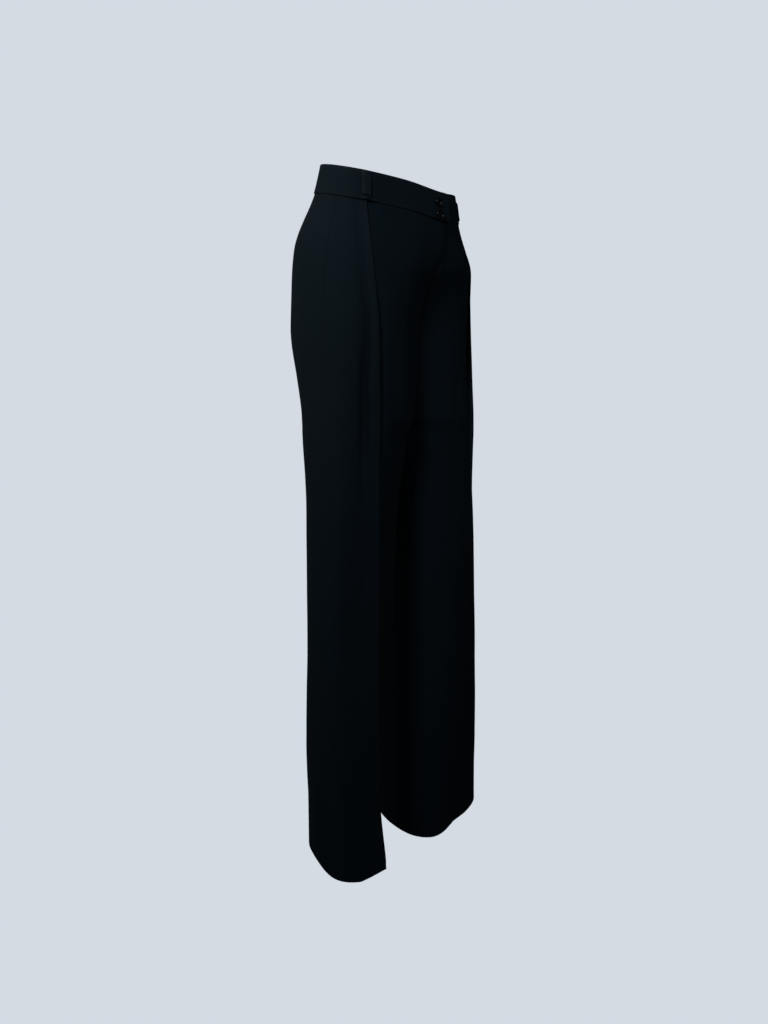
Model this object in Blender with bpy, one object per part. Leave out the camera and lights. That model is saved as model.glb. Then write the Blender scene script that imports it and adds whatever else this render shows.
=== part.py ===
"""Black high-waisted palazzo trousers, filled out and open at the waist and the hems.

Metres, +Z up, front towards -Y, the wearer's left towards +X. The origin is the centre of the
waist, at half the height of the waistband.
"""

import math

import bpy
import numpy as np

WALL = 0.0012          # cloth of the legs
BAND_WALL = 0.0024     # waistband, cloth doubled over its stiffening
SEAM_GAP = 0.0003      # between two sewn pieces
WAIST_GAP = 0.0005     # between the waistband and what it holds
BAND_TOP = 0.022       # waistband edges at the belt loops
BAND_FOOT = -0.022
FORK = -0.37           # height of the crotch
FOLD_RADIUS = 0.0009   # bend of the cloth where the pleat turns
CREASE_BEND = 0.0022   # length of cloth that bends at a pressed crease
LOOP_WIDTH = 0.011
FLY_WIDTH = 0.016      # under the waistband; it narrows to its foot
FLY_FOOT = -0.105
FLY_CLEAR = 0.0017     # stand-off of the fly's edge from the front below it
BACK_LOOP_AT = 0.050   # from the middle of the back to the two back loops
LOOP_RISE = 0.0030     # belt loop's stand-off
BUTTON_RADII = {"button_lower": 0.0075, "button_upper": 0.0065}
BUTTON_HEIGHTS = {"button_lower": -0.0140, "button_upper": 0.0045}
BUTTON_PLACE = 0.0115  # from the middle of the front, towards the wearer's right
BUTTON_SEAT = 0.0002   # the waistband's bow under a button

# One row per level, in centimetres and degrees. z is the height; xo, ys the side seam; xf, yf the
# front crease; xb, yb the back crease; xi the inner edge with ya (front panel) and yc (back panel).
# a0..a1 are the headings of the outline there, from the inner front edge round to the inner back
# edge, with 0 outwards and 90 backwards.
COLUMNS = "z xo ys xf yf xb yb xi ya yc a0 c1 c2 s1 d1 d2 a1".split()
RIGHT_LEVELS = [
    (2.2, 13.0, 0.5, 11.8, -3.8, 7.6, 7.6, 0.0, -9.0, 9.0, 6, 36, 60, 92, 150, 150, 180),
    (-2.2, 13.5, 0.5, 12.1, -4.1, 8.1, 8.6, 0.0, -9.5, 10.0, 4, 36, 60, 92, 150, 150, 180),
    (-10., 15.3, 1.0, 12.9, -5.7, 9.0, 12.1, 0.0, -8.8, 13.0, -4, 26, 52, 92, 150, 150, 178),
    (-15., 16.0, 1.0, 13.0, -6.3, 9.2, 12.4, 0.0, -6.9, 13.3, -10, 20, 48, 92, 151, 153, 177),
    (-20., 16.4, 1.0, 13.0, -6.8, 9.4, 12.4, 0.0, -5.5, 13.2, -16, 16, 44, 92, 152, 156, 176),
    (-28., 16.7, 0.6, 13.0, -6.9, 9.6, 11.1, 0.0, -5.1, 11.4, -24, 12, 42, 92, 150, 160, 190),
    (-34., 17.0, 0.4, 12.6, -6.7, 9.6, 10.0, 0.2, -4.1, 6.6, -42, 8, 36, 92, 148, 168, 225),
    (-37., 17.1, 0.4, 12.5, -6.6, 9.7, 9.6, 0.6, 0.1, 0.1, -84, 2, 35, 92, 148, 174, 266),
    (-48., 17.5, 0.2, 12.4, -6.4, 9.8, 8.35, 1.6, 0.4, 0.4, -84, -14, 32, 94, 146, 186, 270),
    (-66., 18.0, 0.0, 12.2, -6.2, 9.9, 8.15, 2.2, 0.4, 0.4, -76, -22, 28, 98, 146, 190, 276),
    (-86., 18.3, 0.0, 12.0, -6.1, 10.0, 8.6, 2.6, 0.2, 0.2, -64, -29, 20, 103, 148, 190, 284),
    (-91., 18.4, -0.2, 11.9, -6.1, 10.0, 8.5, 2.7, 0.15, 0.15, -58, -27, 18, 104, 149, 190, 286),
    (-94.5, 18.4, -0.4, 12.0, -5.9, 10.0, 8.5, 3.1, 0.1, 0.1, -38, -32, 16, 104, 149, 190, 287),
    (-103.7, 18.6, -0.8, 10.7, -6.6, 10.0, 8.4, 3.0, 0.0, 0.0, -46, -36, 12, 106, 150, 190, 290),
]
LEFT_LEVELS = [
    (2.2, 13.2, 0.5, 12.0, -4.1, 7.6, 7.6, 0.0, -9.0, 9.0, 6, 36, 60, 92, 150, 150, 180),
    (-2.2, 13.8, 0.5, 12.4, -4.6, 8.1, 8.6, 0.0, -9.5, 10.0, 4, 36, 60, 92, 150, 150, 180),
    (-10., 15.5, 1.0, 13.1, -6.9, 9.0, 12.1, 0.0, -8.9, 13.0, -4, 26, 50, 92, 150, 150, 178),
    (-15., 16.1, 1.0, 13.1, -6.7, 9.2, 12.4, 0.0, -6.9, 13.3, -10, 20, 46, 92, 151, 153, 177),
    (-20., 16.5, 1.0, 13.0, -6.8, 9.4, 12.4, 0.0, -5.5, 13.2, -16, 14, 40, 92, 152, 156, 176),
    (-28., 17.2, 0.7, 12.9, -7.1, 9.7, 11.3, 0.0, -5.1, 11.4, -24, 10, 36, 92, 150, 160, 190),
    (-34., 17.9, 0.6, 12.6, -7.6, 10.0, 10.2, 0.2, -4.1, 6.6, -42, 6, 30, 92, 148, 168, 225),
    (-37., 18.3, 0.6, 12.5, -7.7, 10.1, 10.0, 0.6, 0.1, 0.1, -84, 4, 28, 92, 148, 172, 266),
    (-48., 20.1, 0.8, 12.1, -7.7, 10.8, 9.6, 1.6, 0.4, 0.4, -88, 2, 20, 92, 148, 186, 268),
    (-66., 21.4, 1.0, 11.3, -7.2, 11.8, 9.4, 2.4, 0.4, 0.4, -88, 4, 13, 92, 148, 190, 268),
    (-86., 22.7, 1.3, 10.5, -6.5, 12.8, 9.3, 3.0, 0.0, 0.0, -88, 7, 10, 92, 150, 193, 268),
    (-103.2, 24.1, 1.8, 10.0, -5.6, 13.8, 9.9, 3.4, -0.4, -0.4, -90, 9, 10, 92, 150, 188, 268),
]
# How far each of a level's four arcs fills its corner: inner front, outer front, outer back, inner back.
FULLNESS = (0.46, 0.42, 0.38, 0.42)

# The front pleat. under is the cloth turned back below it, turn the angle it turns by, out how far
# its edge stands out, hollow the depth of the trough beside it; millimetres and degrees.
PLEAT_COLUMNS = "z under turn out hollow".split()
PLEAT_LEVELS = [
    (2.2, 24.0, 180, 0.0, 0.0),
    (-2.2, 24.0, 180, 0.0, 0.6),
    (-7.0, 22.0, 180, 0.6, 1.6),
    (-14., 17.0, 178, 1.6, 2.0),
    (-20., 12.0, 165, 2.6, 3.0),
    (-26., 8.0, 130, 3.4, 5.5),
    (-32., 5.0, 95, 3.0, 5.0),
    (-38., 2.6, 55, 2.0, 2.6),
    (-44., 1.6, 22, 1.0, 1.2),
    (-52., 1.6, 0, 0.4, 0.6),
    (-104., 1.6, 0, 0.0, 0.0),
]
# Soft folds: panel, place along its outline from inner edge (0) to side seam (1), heights where the
# fold starts, is deepest and ends (cm), width (cm) and depth (mm, negative inwards).
FOLDS = [
    ("front_right", 0.72, -30, -62, -100, 2.6, -2.4),
    ("front_right", 0.86, -20, -48, -84, 2.8, 1.8),
    ("front_left", 0.30, -34, -60, -100, 2.6, 2.6),
    ("front_left", 0.68, -16, -44, -90, 2.6, -2.2),
    ("front_left", 0.82, -40, -72, -103, 3.2, 2.6),
    ("back_right", 0.72, -24, -52, -98, 3.2, -3.2),
    ("back_right", 0.52, -16, -44, -80, 3.0, 2.4),
    ("back_right", 0.26, -34, -60, -102, 3.2, -3.0),
    ("back_left", 0.74, -26, -56, -100, 3.6, -3.6),
    ("back_left", 0.50, -18, -46, -86, 3.2, 2.6),
    ("back_left", 0.24, -36, -64, -102, 3.4, -3.2),
]


def scaled(rows, lengths, factor):
    table = np.array(rows, float)
    table[:, lengths] *= factor
    return table


LEVELS = {
    "right": scaled(RIGHT_LEVELS, slice(0, 10), 0.01),
    "left": scaled(LEFT_LEVELS, slice(0, 10), 0.01),
}
PLEAT = scaled(scaled(PLEAT_LEVELS, [1, 3, 4], 0.001), [0], 0.01)
SIGN = {"right": -1.0, "left": 1.0}
# How a hem rises, in metres: back within depth of its front, crease between HEM_INSIDE and
# HEM_OUTSIDE from the middle, and outer and inner per metre past HEM_OUTER and short of it.
HEM_FRONT = -0.05
HEM_INSIDE, HEM_OUTSIDE, HEM_OUTER = 0.05, 0.11, 0.155
HEM = {
    "right": {"back": 0.034, "depth": 0.10, "outer": 0.16, "inner": 0.15, "crease": 0.0},
    "left": {"back": 0.024, "depth": 0.14, "outer": 0.10, "inner": 0.0, "crease": 0.013},
}


def smooth(t):
    t = np.clip(t, 0.0, 1.0)
    return t * t * (3 - 2 * t)


def at_height(table, z):
    """A table's row at height z, on a curve through its rows that never overshoots them."""
    heights = table[:, 0]
    i = int(np.clip(np.searchsorted(-heights, -z, side="right") - 1, 0, len(heights) - 2))

    def slope(k):
        if k in (0, len(heights) - 1):
            j = 0 if k == 0 else k - 1
            return (table[j + 1] - table[j]) / (heights[j + 1] - heights[j])
        above = (table[k] - table[k - 1]) / (heights[k] - heights[k - 1])
        below = (table[k + 1] - table[k]) / (heights[k + 1] - heights[k])
        gap_above = heights[k - 1] - heights[k]
        gap_below = heights[k] - heights[k + 1]
        mean = (above * gap_below + below * gap_above) / (gap_above + gap_below)
        least = 2.5 * np.minimum(np.abs(above), np.abs(below))
        return np.where(above * below > 0, np.sign(mean) * np.minimum(np.abs(mean), least), 0.0)

    step = heights[i + 1] - heights[i]
    t = (z - heights[i]) / step
    start = (2 * t**3 - 3 * t**2 + 1) * table[i] + (t**3 - 2 * t**2 + t) * step * slope(i)
    end = (3 * t**2 - 2 * t**3) * table[i + 1] + (t**3 - t**2) * step * slope(i + 1)
    return start + end


def lifted(x, y, z):
    """The waist drops towards the middle of the front."""
    drop = 0.24 * (y + 0.038) - 0.005 * np.exp(-((x / 0.05) ** 2))
    return z + smooth((z + 0.20) / 0.20) * drop


def hem_rise(side, x, y, z):
    """The hem hangs lowest in front and rises towards the back and the side seam."""
    hem = HEM[side]
    rise = hem["back"] * smooth((y - HEM_FRONT) / hem["depth"])
    rise += hem["crease"] * smooth((x - HEM_INSIDE) / (HEM_OUTSIDE - HEM_INSIDE))
    rise += hem["outer"] * np.maximum(0.0, x - HEM_OUTER)
    rise += hem["inner"] * np.maximum(0.0, HEM_OUTER - x)
    return smooth((-0.75 - z) / 0.25) * rise


def arc(start, heading, end, arrival, fullness, count=48):
    start, end = np.array(start), np.array(end)
    reach = fullness * np.linalg.norm(end - start)
    go = np.array([math.cos(math.radians(heading)), math.sin(math.radians(heading))])
    come = np.array([math.cos(math.radians(arrival)), math.sin(math.radians(arrival))])
    t = np.linspace(0, 1, count)[:, None]
    near, far = start + go * reach, end - come * reach
    return (
        (1 - t) ** 3 * start
        + 3 * t * (1 - t) ** 2 * near
        + 3 * t * t * (1 - t) * far
        + t**3 * end
    )


class Outline:
    """A level's curve as (outwards, backwards) points, read by the length along it."""

    def __init__(self, points, soften=0.003):
        keep = np.r_[True, np.linalg.norm(np.diff(points, axis=0), axis=1) > 1e-7]
        self.points = points[keep]
        steps = np.linalg.norm(np.diff(self.points, axis=0), axis=1)
        self.along = np.r_[0.0, np.cumsum(steps)]
        self.length = self.along[-1]
        self.soften = soften

    def point(self, s):
        return np.array([np.interp(s, self.along, self.points[:, k]) for k in (0, 1)])

    def outward(self, s):
        """The normal that points away from the leg's inside."""
        low = max(0.0, s - self.soften)
        high = min(self.length, s + self.soften)
        way = self.point(high) - self.point(low)
        way /= np.linalg.norm(way)
        return np.array([way[1], -way[0]])

    def moved(self, s, out):
        """The point at s, moved out. Past either end the curve goes on straight."""
        inside = min(max(s, 0.0), self.length)
        normal = self.outward(inside)
        way = np.array([-normal[1], normal[0]])
        return self.point(inside) + way * (s - inside) + normal * out


def level(side, z):
    row = dict(zip(COLUMNS, at_height(LEVELS[side], z)))
    if z < FORK:
        row["yc"] = row["ya"]
    return row


def front_outline(side, z):
    row = level(side, z)
    crease = (row["xf"], row["yf"])
    inner = arc((row["xi"], row["ya"]), row["a0"], crease, row["c1"], FULLNESS[0])
    outer = arc(crease, row["c2"], (row["xo"], row["ys"]), row["s1"], FULLNESS[1])
    outline = Outline(np.concatenate([inner, outer]))
    crease_at = outline.along[len(inner) - 1]
    return outline, crease_at, row


def back_outline(side, z):
    """The back's curve runs from the inner edge to the side seam, like the front's."""
    row = level(side, z)
    crease = (row["xb"], row["yb"])
    outer = arc((row["xo"], row["ys"]), row["s1"], crease, row["d1"], FULLNESS[2])
    inner = arc(crease, row["d2"], (row["xi"], row["yc"]), row["a1"], FULLNESS[3])
    return Outline(np.concatenate([outer, inner])[::-1]), row


def fold_out(panel, share, z):
    """How far the soft folds move this spot of a panel."""
    total = 0.0
    for name, place, top, peak, foot, width, depth in FOLDS:
        if name != panel:
            continue
        height = 100 * z
        if foot < height < top:
            span = (top - peak) if height > peak else (peak - foot)
            rise = smooth(1 - abs(height - peak) / span)
            drift = 0.02 * math.sin(0.09 * height + 7 * place)
            offset = (share - place - drift) * 22 / width
            total += 0.001 * depth * rise * math.exp(-offset * offset)
    return total


def pleat_bend(pleat, bends=4, between=2):
    """The pleat's turns as (along, out) points, from the inner layer to the visible edge."""
    turn = math.radians(pleat["turn"])
    bend = max(FOLD_RADIUS * turn, CREASE_BEND)
    headings = [turn * (k + 0.5) / bends for k in range(bends)]
    headings += [turn] * between + headings[::-1]
    lengths = [bend / bends] * bends + [pleat["under"] / between] * between + [bend / bends] * bends
    steps = np.array([(c * math.cos(h), c * math.sin(h)) for h, c in zip(headings, lengths)])
    path = np.r_[[(0.0, 0.0)], np.cumsum(steps, axis=0)]
    flat = smooth(1 - turn / (math.pi / 2))
    edge_at = FOLD_RADIUS * (1 - flat) + (bend + pleat["under"] / 2) * flat
    return path + (np.array([edge_at, pleat["out"]]) - path[-1])


# Places of a row's points, as shares of the cloth before and after the pleat.
BEFORE = 1 - np.array([1, 0.86, 0.72, 0.58, 0.45, 0.33, 0.23, 0.15, 0.09, 0.045])
AFTER = np.array([0.045, 0.10, 0.17, 0.26, 0.36, 0.47, 0.58, 0.69, 0.80, 0.90, 1.0])


def front_row(side, z):
    """One level of a front panel as (outwards, backwards) points from inner edge to side seam."""
    panel = "front_" + side
    outline, crease_at, row = front_outline(side, z)
    pleat = dict(zip(PLEAT_COLUMNS, at_height(PLEAT, z)))
    bend = pleat_bend(pleat)
    under_at, under_out = bend[0]
    edge_at, edge_out = bend[-1]
    start = inner_trim(row, z)
    last = outline.length - SEAM_GAP / 2
    points = []
    for share in BEFORE:
        s = start + share * (crease_at + under_at - start)
        ramp = smooth((s - crease_at + 0.022) / 0.022)
        fade = smooth(min(s / 0.02, 1.0)) * (1 - ramp)
        points.append(outline.moved(s, under_out * ramp + fade * fold_out(panel, s / last, z)))
    for along, out in bend:
        points.append(outline.moved(crease_at + along, out))
    for share in AFTER:
        s = crease_at + edge_at + share * (last - crease_at - edge_at)
        past = s - crease_at - edge_at
        stand = edge_out * (1 - smooth(past / 0.024))
        hollow = pleat["hollow"] * math.exp(-(((past - 0.019) / 0.008) ** 2))
        fade = smooth(past / 0.03) * smooth((last - s) / 0.02)
        points.append(outline.moved(s, stand - hollow + fade * fold_out(panel, s / last, z)))
    return spread_from_middle(np.array(points), row)


def inner_trim(row, z):
    """Cloth left out at the inner edge, so that front and back stay a seam gap apart."""
    return 0.0006 if z < FORK + 0.012 else 0.0


def spread_from_middle(points, row):
    """Keeps a panel's inner edge clear of the other leg's."""
    least = SEAM_GAP / 2 + WALL / 2 * abs(math.sin(math.radians(row["a0"]))) * 1.3
    points[:, 0] = np.maximum(points[:, 0], least)
    return points


def back_row(side, z, count=15):
    panel = "back_" + side
    outline, row = back_outline(side, z)
    start = inner_trim(row, z)
    last = outline.length - SEAM_GAP / 2
    points = []
    for share in np.linspace(0, 1, count):
        s = start + share * (last - start)
        fade = smooth(s / 0.02) * smooth((last - s) / 0.02)
        points.append(outline.moved(s, fade * fold_out(panel, s / last, z)))
    return spread_from_middle(np.array(points), {"a0": row["a1"]})


def heights(top, foot):
    """Levels of a panel: closer at the fork, wider down the legs."""
    listed = [top, -0.035, -0.05, -0.068, -0.087, -0.107, -0.128, -0.15, -0.172, -0.194]
    listed += [-0.216, -0.238, -0.26, -0.28, -0.298, -0.314, -0.328, -0.34, -0.350, -0.358]
    listed += [-0.365, FORK, -0.38, -0.40, -0.425, -0.455, -0.49, -0.535, -0.59, -0.65]
    listed += [-0.71, -0.77, -0.83, -0.885, -0.935, -0.98, foot]
    return listed


def grid_of(rows, levels, side):
    grid = np.empty((len(rows), len(rows[0]), 3))
    for i, (row, z) in enumerate(zip(rows, levels)):
        x, y = row[:, 0], row[:, 1]
        grid[i, :, 0] = SIGN[side] * x
        grid[i, :, 1] = y
        grid[i, :, 2] = lifted(x, y, z) + hem_rise(side, x, y, z)
    return grid


def grid_normals(grid):
    down = np.gradient(grid, axis=0)
    across = np.gradient(grid, axis=1)
    normals = np.cross(across, down)
    return normals / np.linalg.norm(normals, axis=2, keepdims=True)


def sheet(name, grid, wall, material, level_rows=0):
    """A closed solid: the grid with half the wall on each side. The first rows go out level."""
    normals = grid_normals(grid)
    normals[:level_rows, :, 2] = 0
    normals /= np.linalg.norm(normals, axis=2, keepdims=True)
    centre = grid.mean(axis=(0, 1))
    if (normals * (grid - centre)).sum() < 0:
        normals = -normals
    outer = grid + normals * wall / 2
    inner = grid - normals * wall / 2
    return solid_between(name, outer, inner, material)


def solid_between(name, outer, inner, material):
    rows, columns = outer.shape[:2]
    points = np.concatenate([outer.reshape(-1, 3), inner.reshape(-1, 3)])
    below = rows * columns
    faces = []
    for i in range(rows - 1):
        for j in range(columns - 1):
            a = i * columns + j
            b, c, d = a + 1, a + columns + 1, a + columns
            faces.append((a, b, c, d))
            faces.append((d + below, c + below, b + below, a + below))
    rim = [j for j in range(columns)]
    rim += [i * columns + columns - 1 for i in range(1, rows)]
    rim += [(rows - 1) * columns + j for j in range(columns - 2, -1, -1)]
    rim += [i * columns for i in range(rows - 2, 0, -1)]
    for k, a in enumerate(rim):
        b = rim[(k + 1) % len(rim)]
        faces.append((b, a, a + below, b + below))
    return add_mesh(name, points, faces, material)


def signed_volume(points, faces):
    total = 0.0
    for face in faces:
        first = points[face[0]]
        for k in range(1, len(face) - 1):
            total += np.dot(first, np.cross(points[face[k]], points[face[k + 1]]))
    return total


def add_mesh(name, points, faces, material):
    if signed_volume(points, faces) < 0:
        faces = [face[::-1] for face in faces]
    mesh = bpy.data.meshes.new(name)
    mesh.from_pydata([tuple(p) for p in points], [], faces)
    mesh.materials.append(material)
    mesh.update()
    obj = bpy.data.objects.new(name, mesh)
    bpy.context.scene.collection.objects.link(obj)
    return obj


def material(name, colour, roughness, sheen=0.0, coat=0.0):
    made = bpy.data.materials.new(name)
    made.use_nodes = True
    shader = made.node_tree.nodes["Principled BSDF"]
    shader.inputs["Base Color"].default_value = (*colour, 1)
    shader.inputs["Roughness"].default_value = roughness
    shader.inputs["Sheen Weight"].default_value = sheen
    shader.inputs["Coat Weight"].default_value = coat
    made.diffuse_color = (*colour, 1)
    return made


def build_panel(side, kind, cloth):
    levels = heights(BAND_FOOT - WAIST_GAP, LEVELS[side][-1, 0])
    row = front_row if kind == "front" else back_row
    rows = [row(side, z) for z in levels]
    return sheet(f"{kind}_{side}", grid_of(rows, levels, side), WALL, cloth, 1)


def band_outline(side, z):
    front, _, _ = front_outline(side, z)
    back, _ = back_outline(side, z)
    return Outline(np.concatenate([front.points, back.points[::-1]]))


BAND_LEVELS = np.linspace(BAND_TOP, BAND_FOOT, 5)
LAP = 0.016            # cloth of the right waistband end and fly that laps over the left
LAP_CLEAR = 0.0031     # stand-off of the lapping layer from the one below
LAP_FADE = 0.058       # length over which the lapping layer comes down again


def band_grid(side, start, end, count, out=0.0, start_out=None):
    """A strip of the waistband between two lengths along it, from the middle of the front."""
    grid = np.empty((len(BAND_LEVELS), count, 3))
    for i, z in enumerate(BAND_LEVELS):
        outline = band_outline(side, z)
        stop = outline.length - SEAM_GAP / 2 if end is None else end
        for j, share in enumerate(np.linspace(0, 1, count)):
            s = start + share * (stop - start)
            raised = out
            if start_out is not None:
                raised += start_out * (1 - smooth((s - start - 0.5 * LAP) / LAP_FADE))
            x, y = outline.moved(s, raised)
            grid[i, j] = (SIGN[side] * x, y, lifted(x, y, z))
    return grid


def build_band(cloth):
    out = (BAND_WALL - WALL) / 2
    rows = len(BAND_LEVELS)
    left = band_grid("left", SEAM_GAP / 2, None, 30, out)
    right = band_grid("right", -LAP, None, 33, out, LAP_CLEAR)
    sheet("waistband_left", left, BAND_WALL, cloth, rows)
    sheet("waistband_right", right, BAND_WALL, cloth, rows)


def build_fly(cloth):
    """The right front's fly edge, which laps over the left front below the waistband."""
    under = [z for z in heights(BAND_FOOT - WAIST_GAP, FORK) if z > 1.2 * FLY_FOOT]
    rows = [Outline(front_row("left", z)) for z in under]
    top = BAND_FOOT - 3 * WAIST_GAP
    levels = [top] + [z for z in under[1:] if z > FLY_FOOT]
    levels += [FLY_FOOT + rise * FLY_WIDTH for rise in (0.55, 0.25, 0.1, 0.0)]
    grid = np.empty((len(levels), 6, 3))
    for i, z in enumerate(levels):
        fallen = (top - z) / (top - FLY_FOOT)
        width = FLY_WIDTH * max((1 - fallen) ** 0.8, 0.2)
        k = int(np.clip(np.searchsorted(-np.array(under), -z) - 1, 0, len(under) - 2))
        share = (z - under[k]) / (under[k + 1] - under[k])
        for j, across in enumerate(np.linspace(0.04 * FLY_WIDTH, width, 6)):
            upper, lower = rows[k].point(across), rows[k + 1].point(across)
            x, y = upper + share * (lower - upper)
            grid[i, j] = (x, y, lifted(x, y, z))
    normals = grid_normals(grid)
    if normals[:, :, 1].sum() > 0:
        normals = -normals
    sheet("fly", grid + normals * FLY_CLEAR, WALL, cloth)


def band_surface(side, s, z, out):
    """A point on the waistband's outside, with its outward normal."""
    outline = band_outline(side, z)
    x, y = outline.moved(s, BAND_WALL - WALL / 2 + out)
    normal = outline.outward(min(max(s, 0.0), outline.length))
    point = np.array([SIGN[side] * x, y, lifted(x, y, z)])
    return point, np.array([SIGN[side] * normal[0], normal[1], 0.0])


def build_loop(name, side, place, cloth):
    """A belt loop: a strip sewn flat at its ends that stands off between them.

    place gives its distance along the waistband at a height."""
    profile = [(0.0205, 0.0), (0.0175, 0.0), (0.0150, 0.6), (0.0120, 1.0), (0.0, 1.0)]
    profile += [(-0.0120, 1.0), (-0.0150, 0.6), (-0.0175, 0.0), (-0.0205, 0.0)]
    wall = 0.0014
    grid = np.empty((len(profile), 4, 3))
    for i, (z, rise) in enumerate(profile):
        for j, across in enumerate(np.linspace(-0.5, 0.5, 4)):
            out = SEAM_GAP + wall / 2 + rise * LOOP_RISE
            s = place(z) + across * LOOP_WIDTH
            grid[i, j] = band_surface(side, s, z, out)[0]
    normals = grid_normals(grid)
    outward = band_surface(side, place(0.0), 0.0, 0.0)[1]
    if (normals * outward).sum() < 0:
        normals = -normals
    return solid_between(name, grid + normals * wall / 2, grid - normals * wall / 2, cloth)


def crease_place(side):
    """The length along the waistband, at a height, above the front crease."""
    return lambda z: front_outline(side, z)[1]


def back_place(side, from_middle):
    """The length along the waistband, at a height, of a spot so far from the middle of the back."""
    return lambda z: band_outline(side, z).length - from_middle


def lap_surface(s, z):
    """A point on the outside of the waistband's lapping end."""
    raised = LAP_CLEAR * (1 - smooth((s + 0.5 * LAP) / LAP_FADE))
    return band_surface("right", s, z, raised)[0]


def build_button(name, gloss):
    """A round button with a raised rim, sewn on the waistband's lapping end."""
    radius = BUTTON_RADII[name]
    height = BUTTON_HEIGHTS[name]
    places = [BUTTON_PLACE + turn * radius for turn in (-1, 0, 1)]
    edge, foot, far = [lap_surface(s, height) for s in places]
    normal = np.cross(far - edge, (0.0, 0.0, 1.0))
    normal /= np.linalg.norm(normal) * (-1.0 if normal[1] > 0 else 1.0)
    foot = foot + normal * (SEAM_GAP + BUTTON_SEAT)
    up = np.array([0.0, 0.0, 1.0])
    across = np.cross(up, normal)
    profile = [(0.20, 0.0), (0.90, 0.0004), (1.0, 0.0012), (0.99, 0.0024), (0.90, 0.0031)]
    profile += [(0.78, 0.0030), (0.66, 0.0023), (0.30, 0.0020)]
    turns = 28
    points, faces = [], []
    for share, out in profile:
        for k in range(turns):
            angle = 2 * math.pi * k / turns
            ring = across * math.cos(angle) + up * math.sin(angle)
            points.append(foot + normal * out + ring * radius * share)
    for i in range(len(profile) - 1):
        for k in range(turns):
            a, b = i * turns + k, i * turns + (k + 1) % turns
            faces.append((a, b, b + turns, a + turns))
    faces.append(tuple(range(turns))[::-1])
    last = (len(profile) - 1) * turns
    faces.append(tuple(range(last, last + turns)))
    return add_mesh(name, np.array(points), faces, gloss)


def main():
    for obj in list(bpy.data.objects):
        bpy.data.objects.remove(obj)
    bpy.context.scene.unit_settings.scale_length = 1.0
    cloth = material("black_cloth", (0.010, 0.011, 0.013), 0.86, sheen=0.25)
    gloss = material("button_gloss", (0.006, 0.006, 0.007), 0.12, coat=0.5)
    for side in ("right", "left"):
        build_panel(side, "front", cloth)
        build_panel(side, "back", cloth)
    build_band(cloth)
    build_fly(cloth)
    for side in ("right", "left"):
        build_loop(f"belt_loop_front_{side}", side, crease_place(side), cloth)
        build_loop(f"belt_loop_back_{side}", side, back_place(side, BACK_LOOP_AT), cloth)
    build_loop("belt_loop_centre_back", "right", back_place("right", 0.0), cloth)
    for name in BUTTON_RADII:
        build_button(name, gloss)


main()
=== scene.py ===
import math

import bmesh
import bpy
import numpy as np
from mathutils import Matrix, Vector, noise


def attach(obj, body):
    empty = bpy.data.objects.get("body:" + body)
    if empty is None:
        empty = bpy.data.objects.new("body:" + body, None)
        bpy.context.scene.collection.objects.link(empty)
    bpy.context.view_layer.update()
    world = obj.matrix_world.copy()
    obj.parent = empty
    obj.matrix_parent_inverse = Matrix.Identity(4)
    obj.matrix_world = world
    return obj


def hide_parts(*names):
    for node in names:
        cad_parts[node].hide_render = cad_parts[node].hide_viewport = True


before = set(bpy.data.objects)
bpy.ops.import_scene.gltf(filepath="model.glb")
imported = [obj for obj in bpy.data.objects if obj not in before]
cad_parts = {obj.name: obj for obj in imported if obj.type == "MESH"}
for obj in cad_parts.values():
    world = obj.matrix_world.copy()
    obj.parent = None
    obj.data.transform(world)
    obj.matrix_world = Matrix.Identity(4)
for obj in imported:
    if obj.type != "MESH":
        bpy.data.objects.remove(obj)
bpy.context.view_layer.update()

# Black high-waisted palazzo trousers, filled out. Metres, front towards -Y, the wearer's left
# towards +X, the middle of the waist at the origin.

# shader nodes, and what all pieces are made with


class Wire:
    # a socket of a node tree, which shader maths can be written with
    def __init__(self, nodes, socket):
        self.nodes = nodes
        self.socket = socket

    def maths(self, operation, *values):
        return self.nodes.add("ShaderNodeMath", {"operation": operation}, dict(enumerate(values)))

    def __add__(self, other):
        return self.maths("ADD", self, other)

    def __radd__(self, other):
        return self.maths("ADD", other, self)

    def __sub__(self, other):
        return self.maths("SUBTRACT", self, other)

    def __rsub__(self, other):
        return self.maths("SUBTRACT", other, self)

    def __mul__(self, other):
        return self.maths("MULTIPLY", self, other)

    def __rmul__(self, other):
        return self.maths("MULTIPLY", other, self)

    def wave(self, length):
        return self.maths("SINE", self * (2 * math.pi / length)) * 0.5 + 0.5

    def clamped(self):
        return self.maths("MINIMUM", self.maths("MAXIMUM", self, 0.0), 1.0)


class Nodes:
    def __init__(self, tree):
        self.tree = tree

    def add(self, kind, settings, sockets, output=0):
        # settings come first, because they say which sockets are in use
        node = self.tree.nodes.new(kind)
        for name, value in settings.items():
            setattr(node, name, value)
        for key, value in sockets.items():
            self.feed(self.inUse(node.inputs, key), value)
        return Wire(self, self.inUse(node.outputs, output))

    def inUse(self, sockets, key):
        # a socket by its name, or by its place among those in use
        used = [socket for socket in sockets if socket.enabled]
        if isinstance(key, int):
            return used[key]
        return next(socket for socket in used if socket.name == key)

    def feed(self, target, value):
        if isinstance(value, Wire):
            self.tree.links.new(value.socket, target)
        else:
            target.default_value = value


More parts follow.
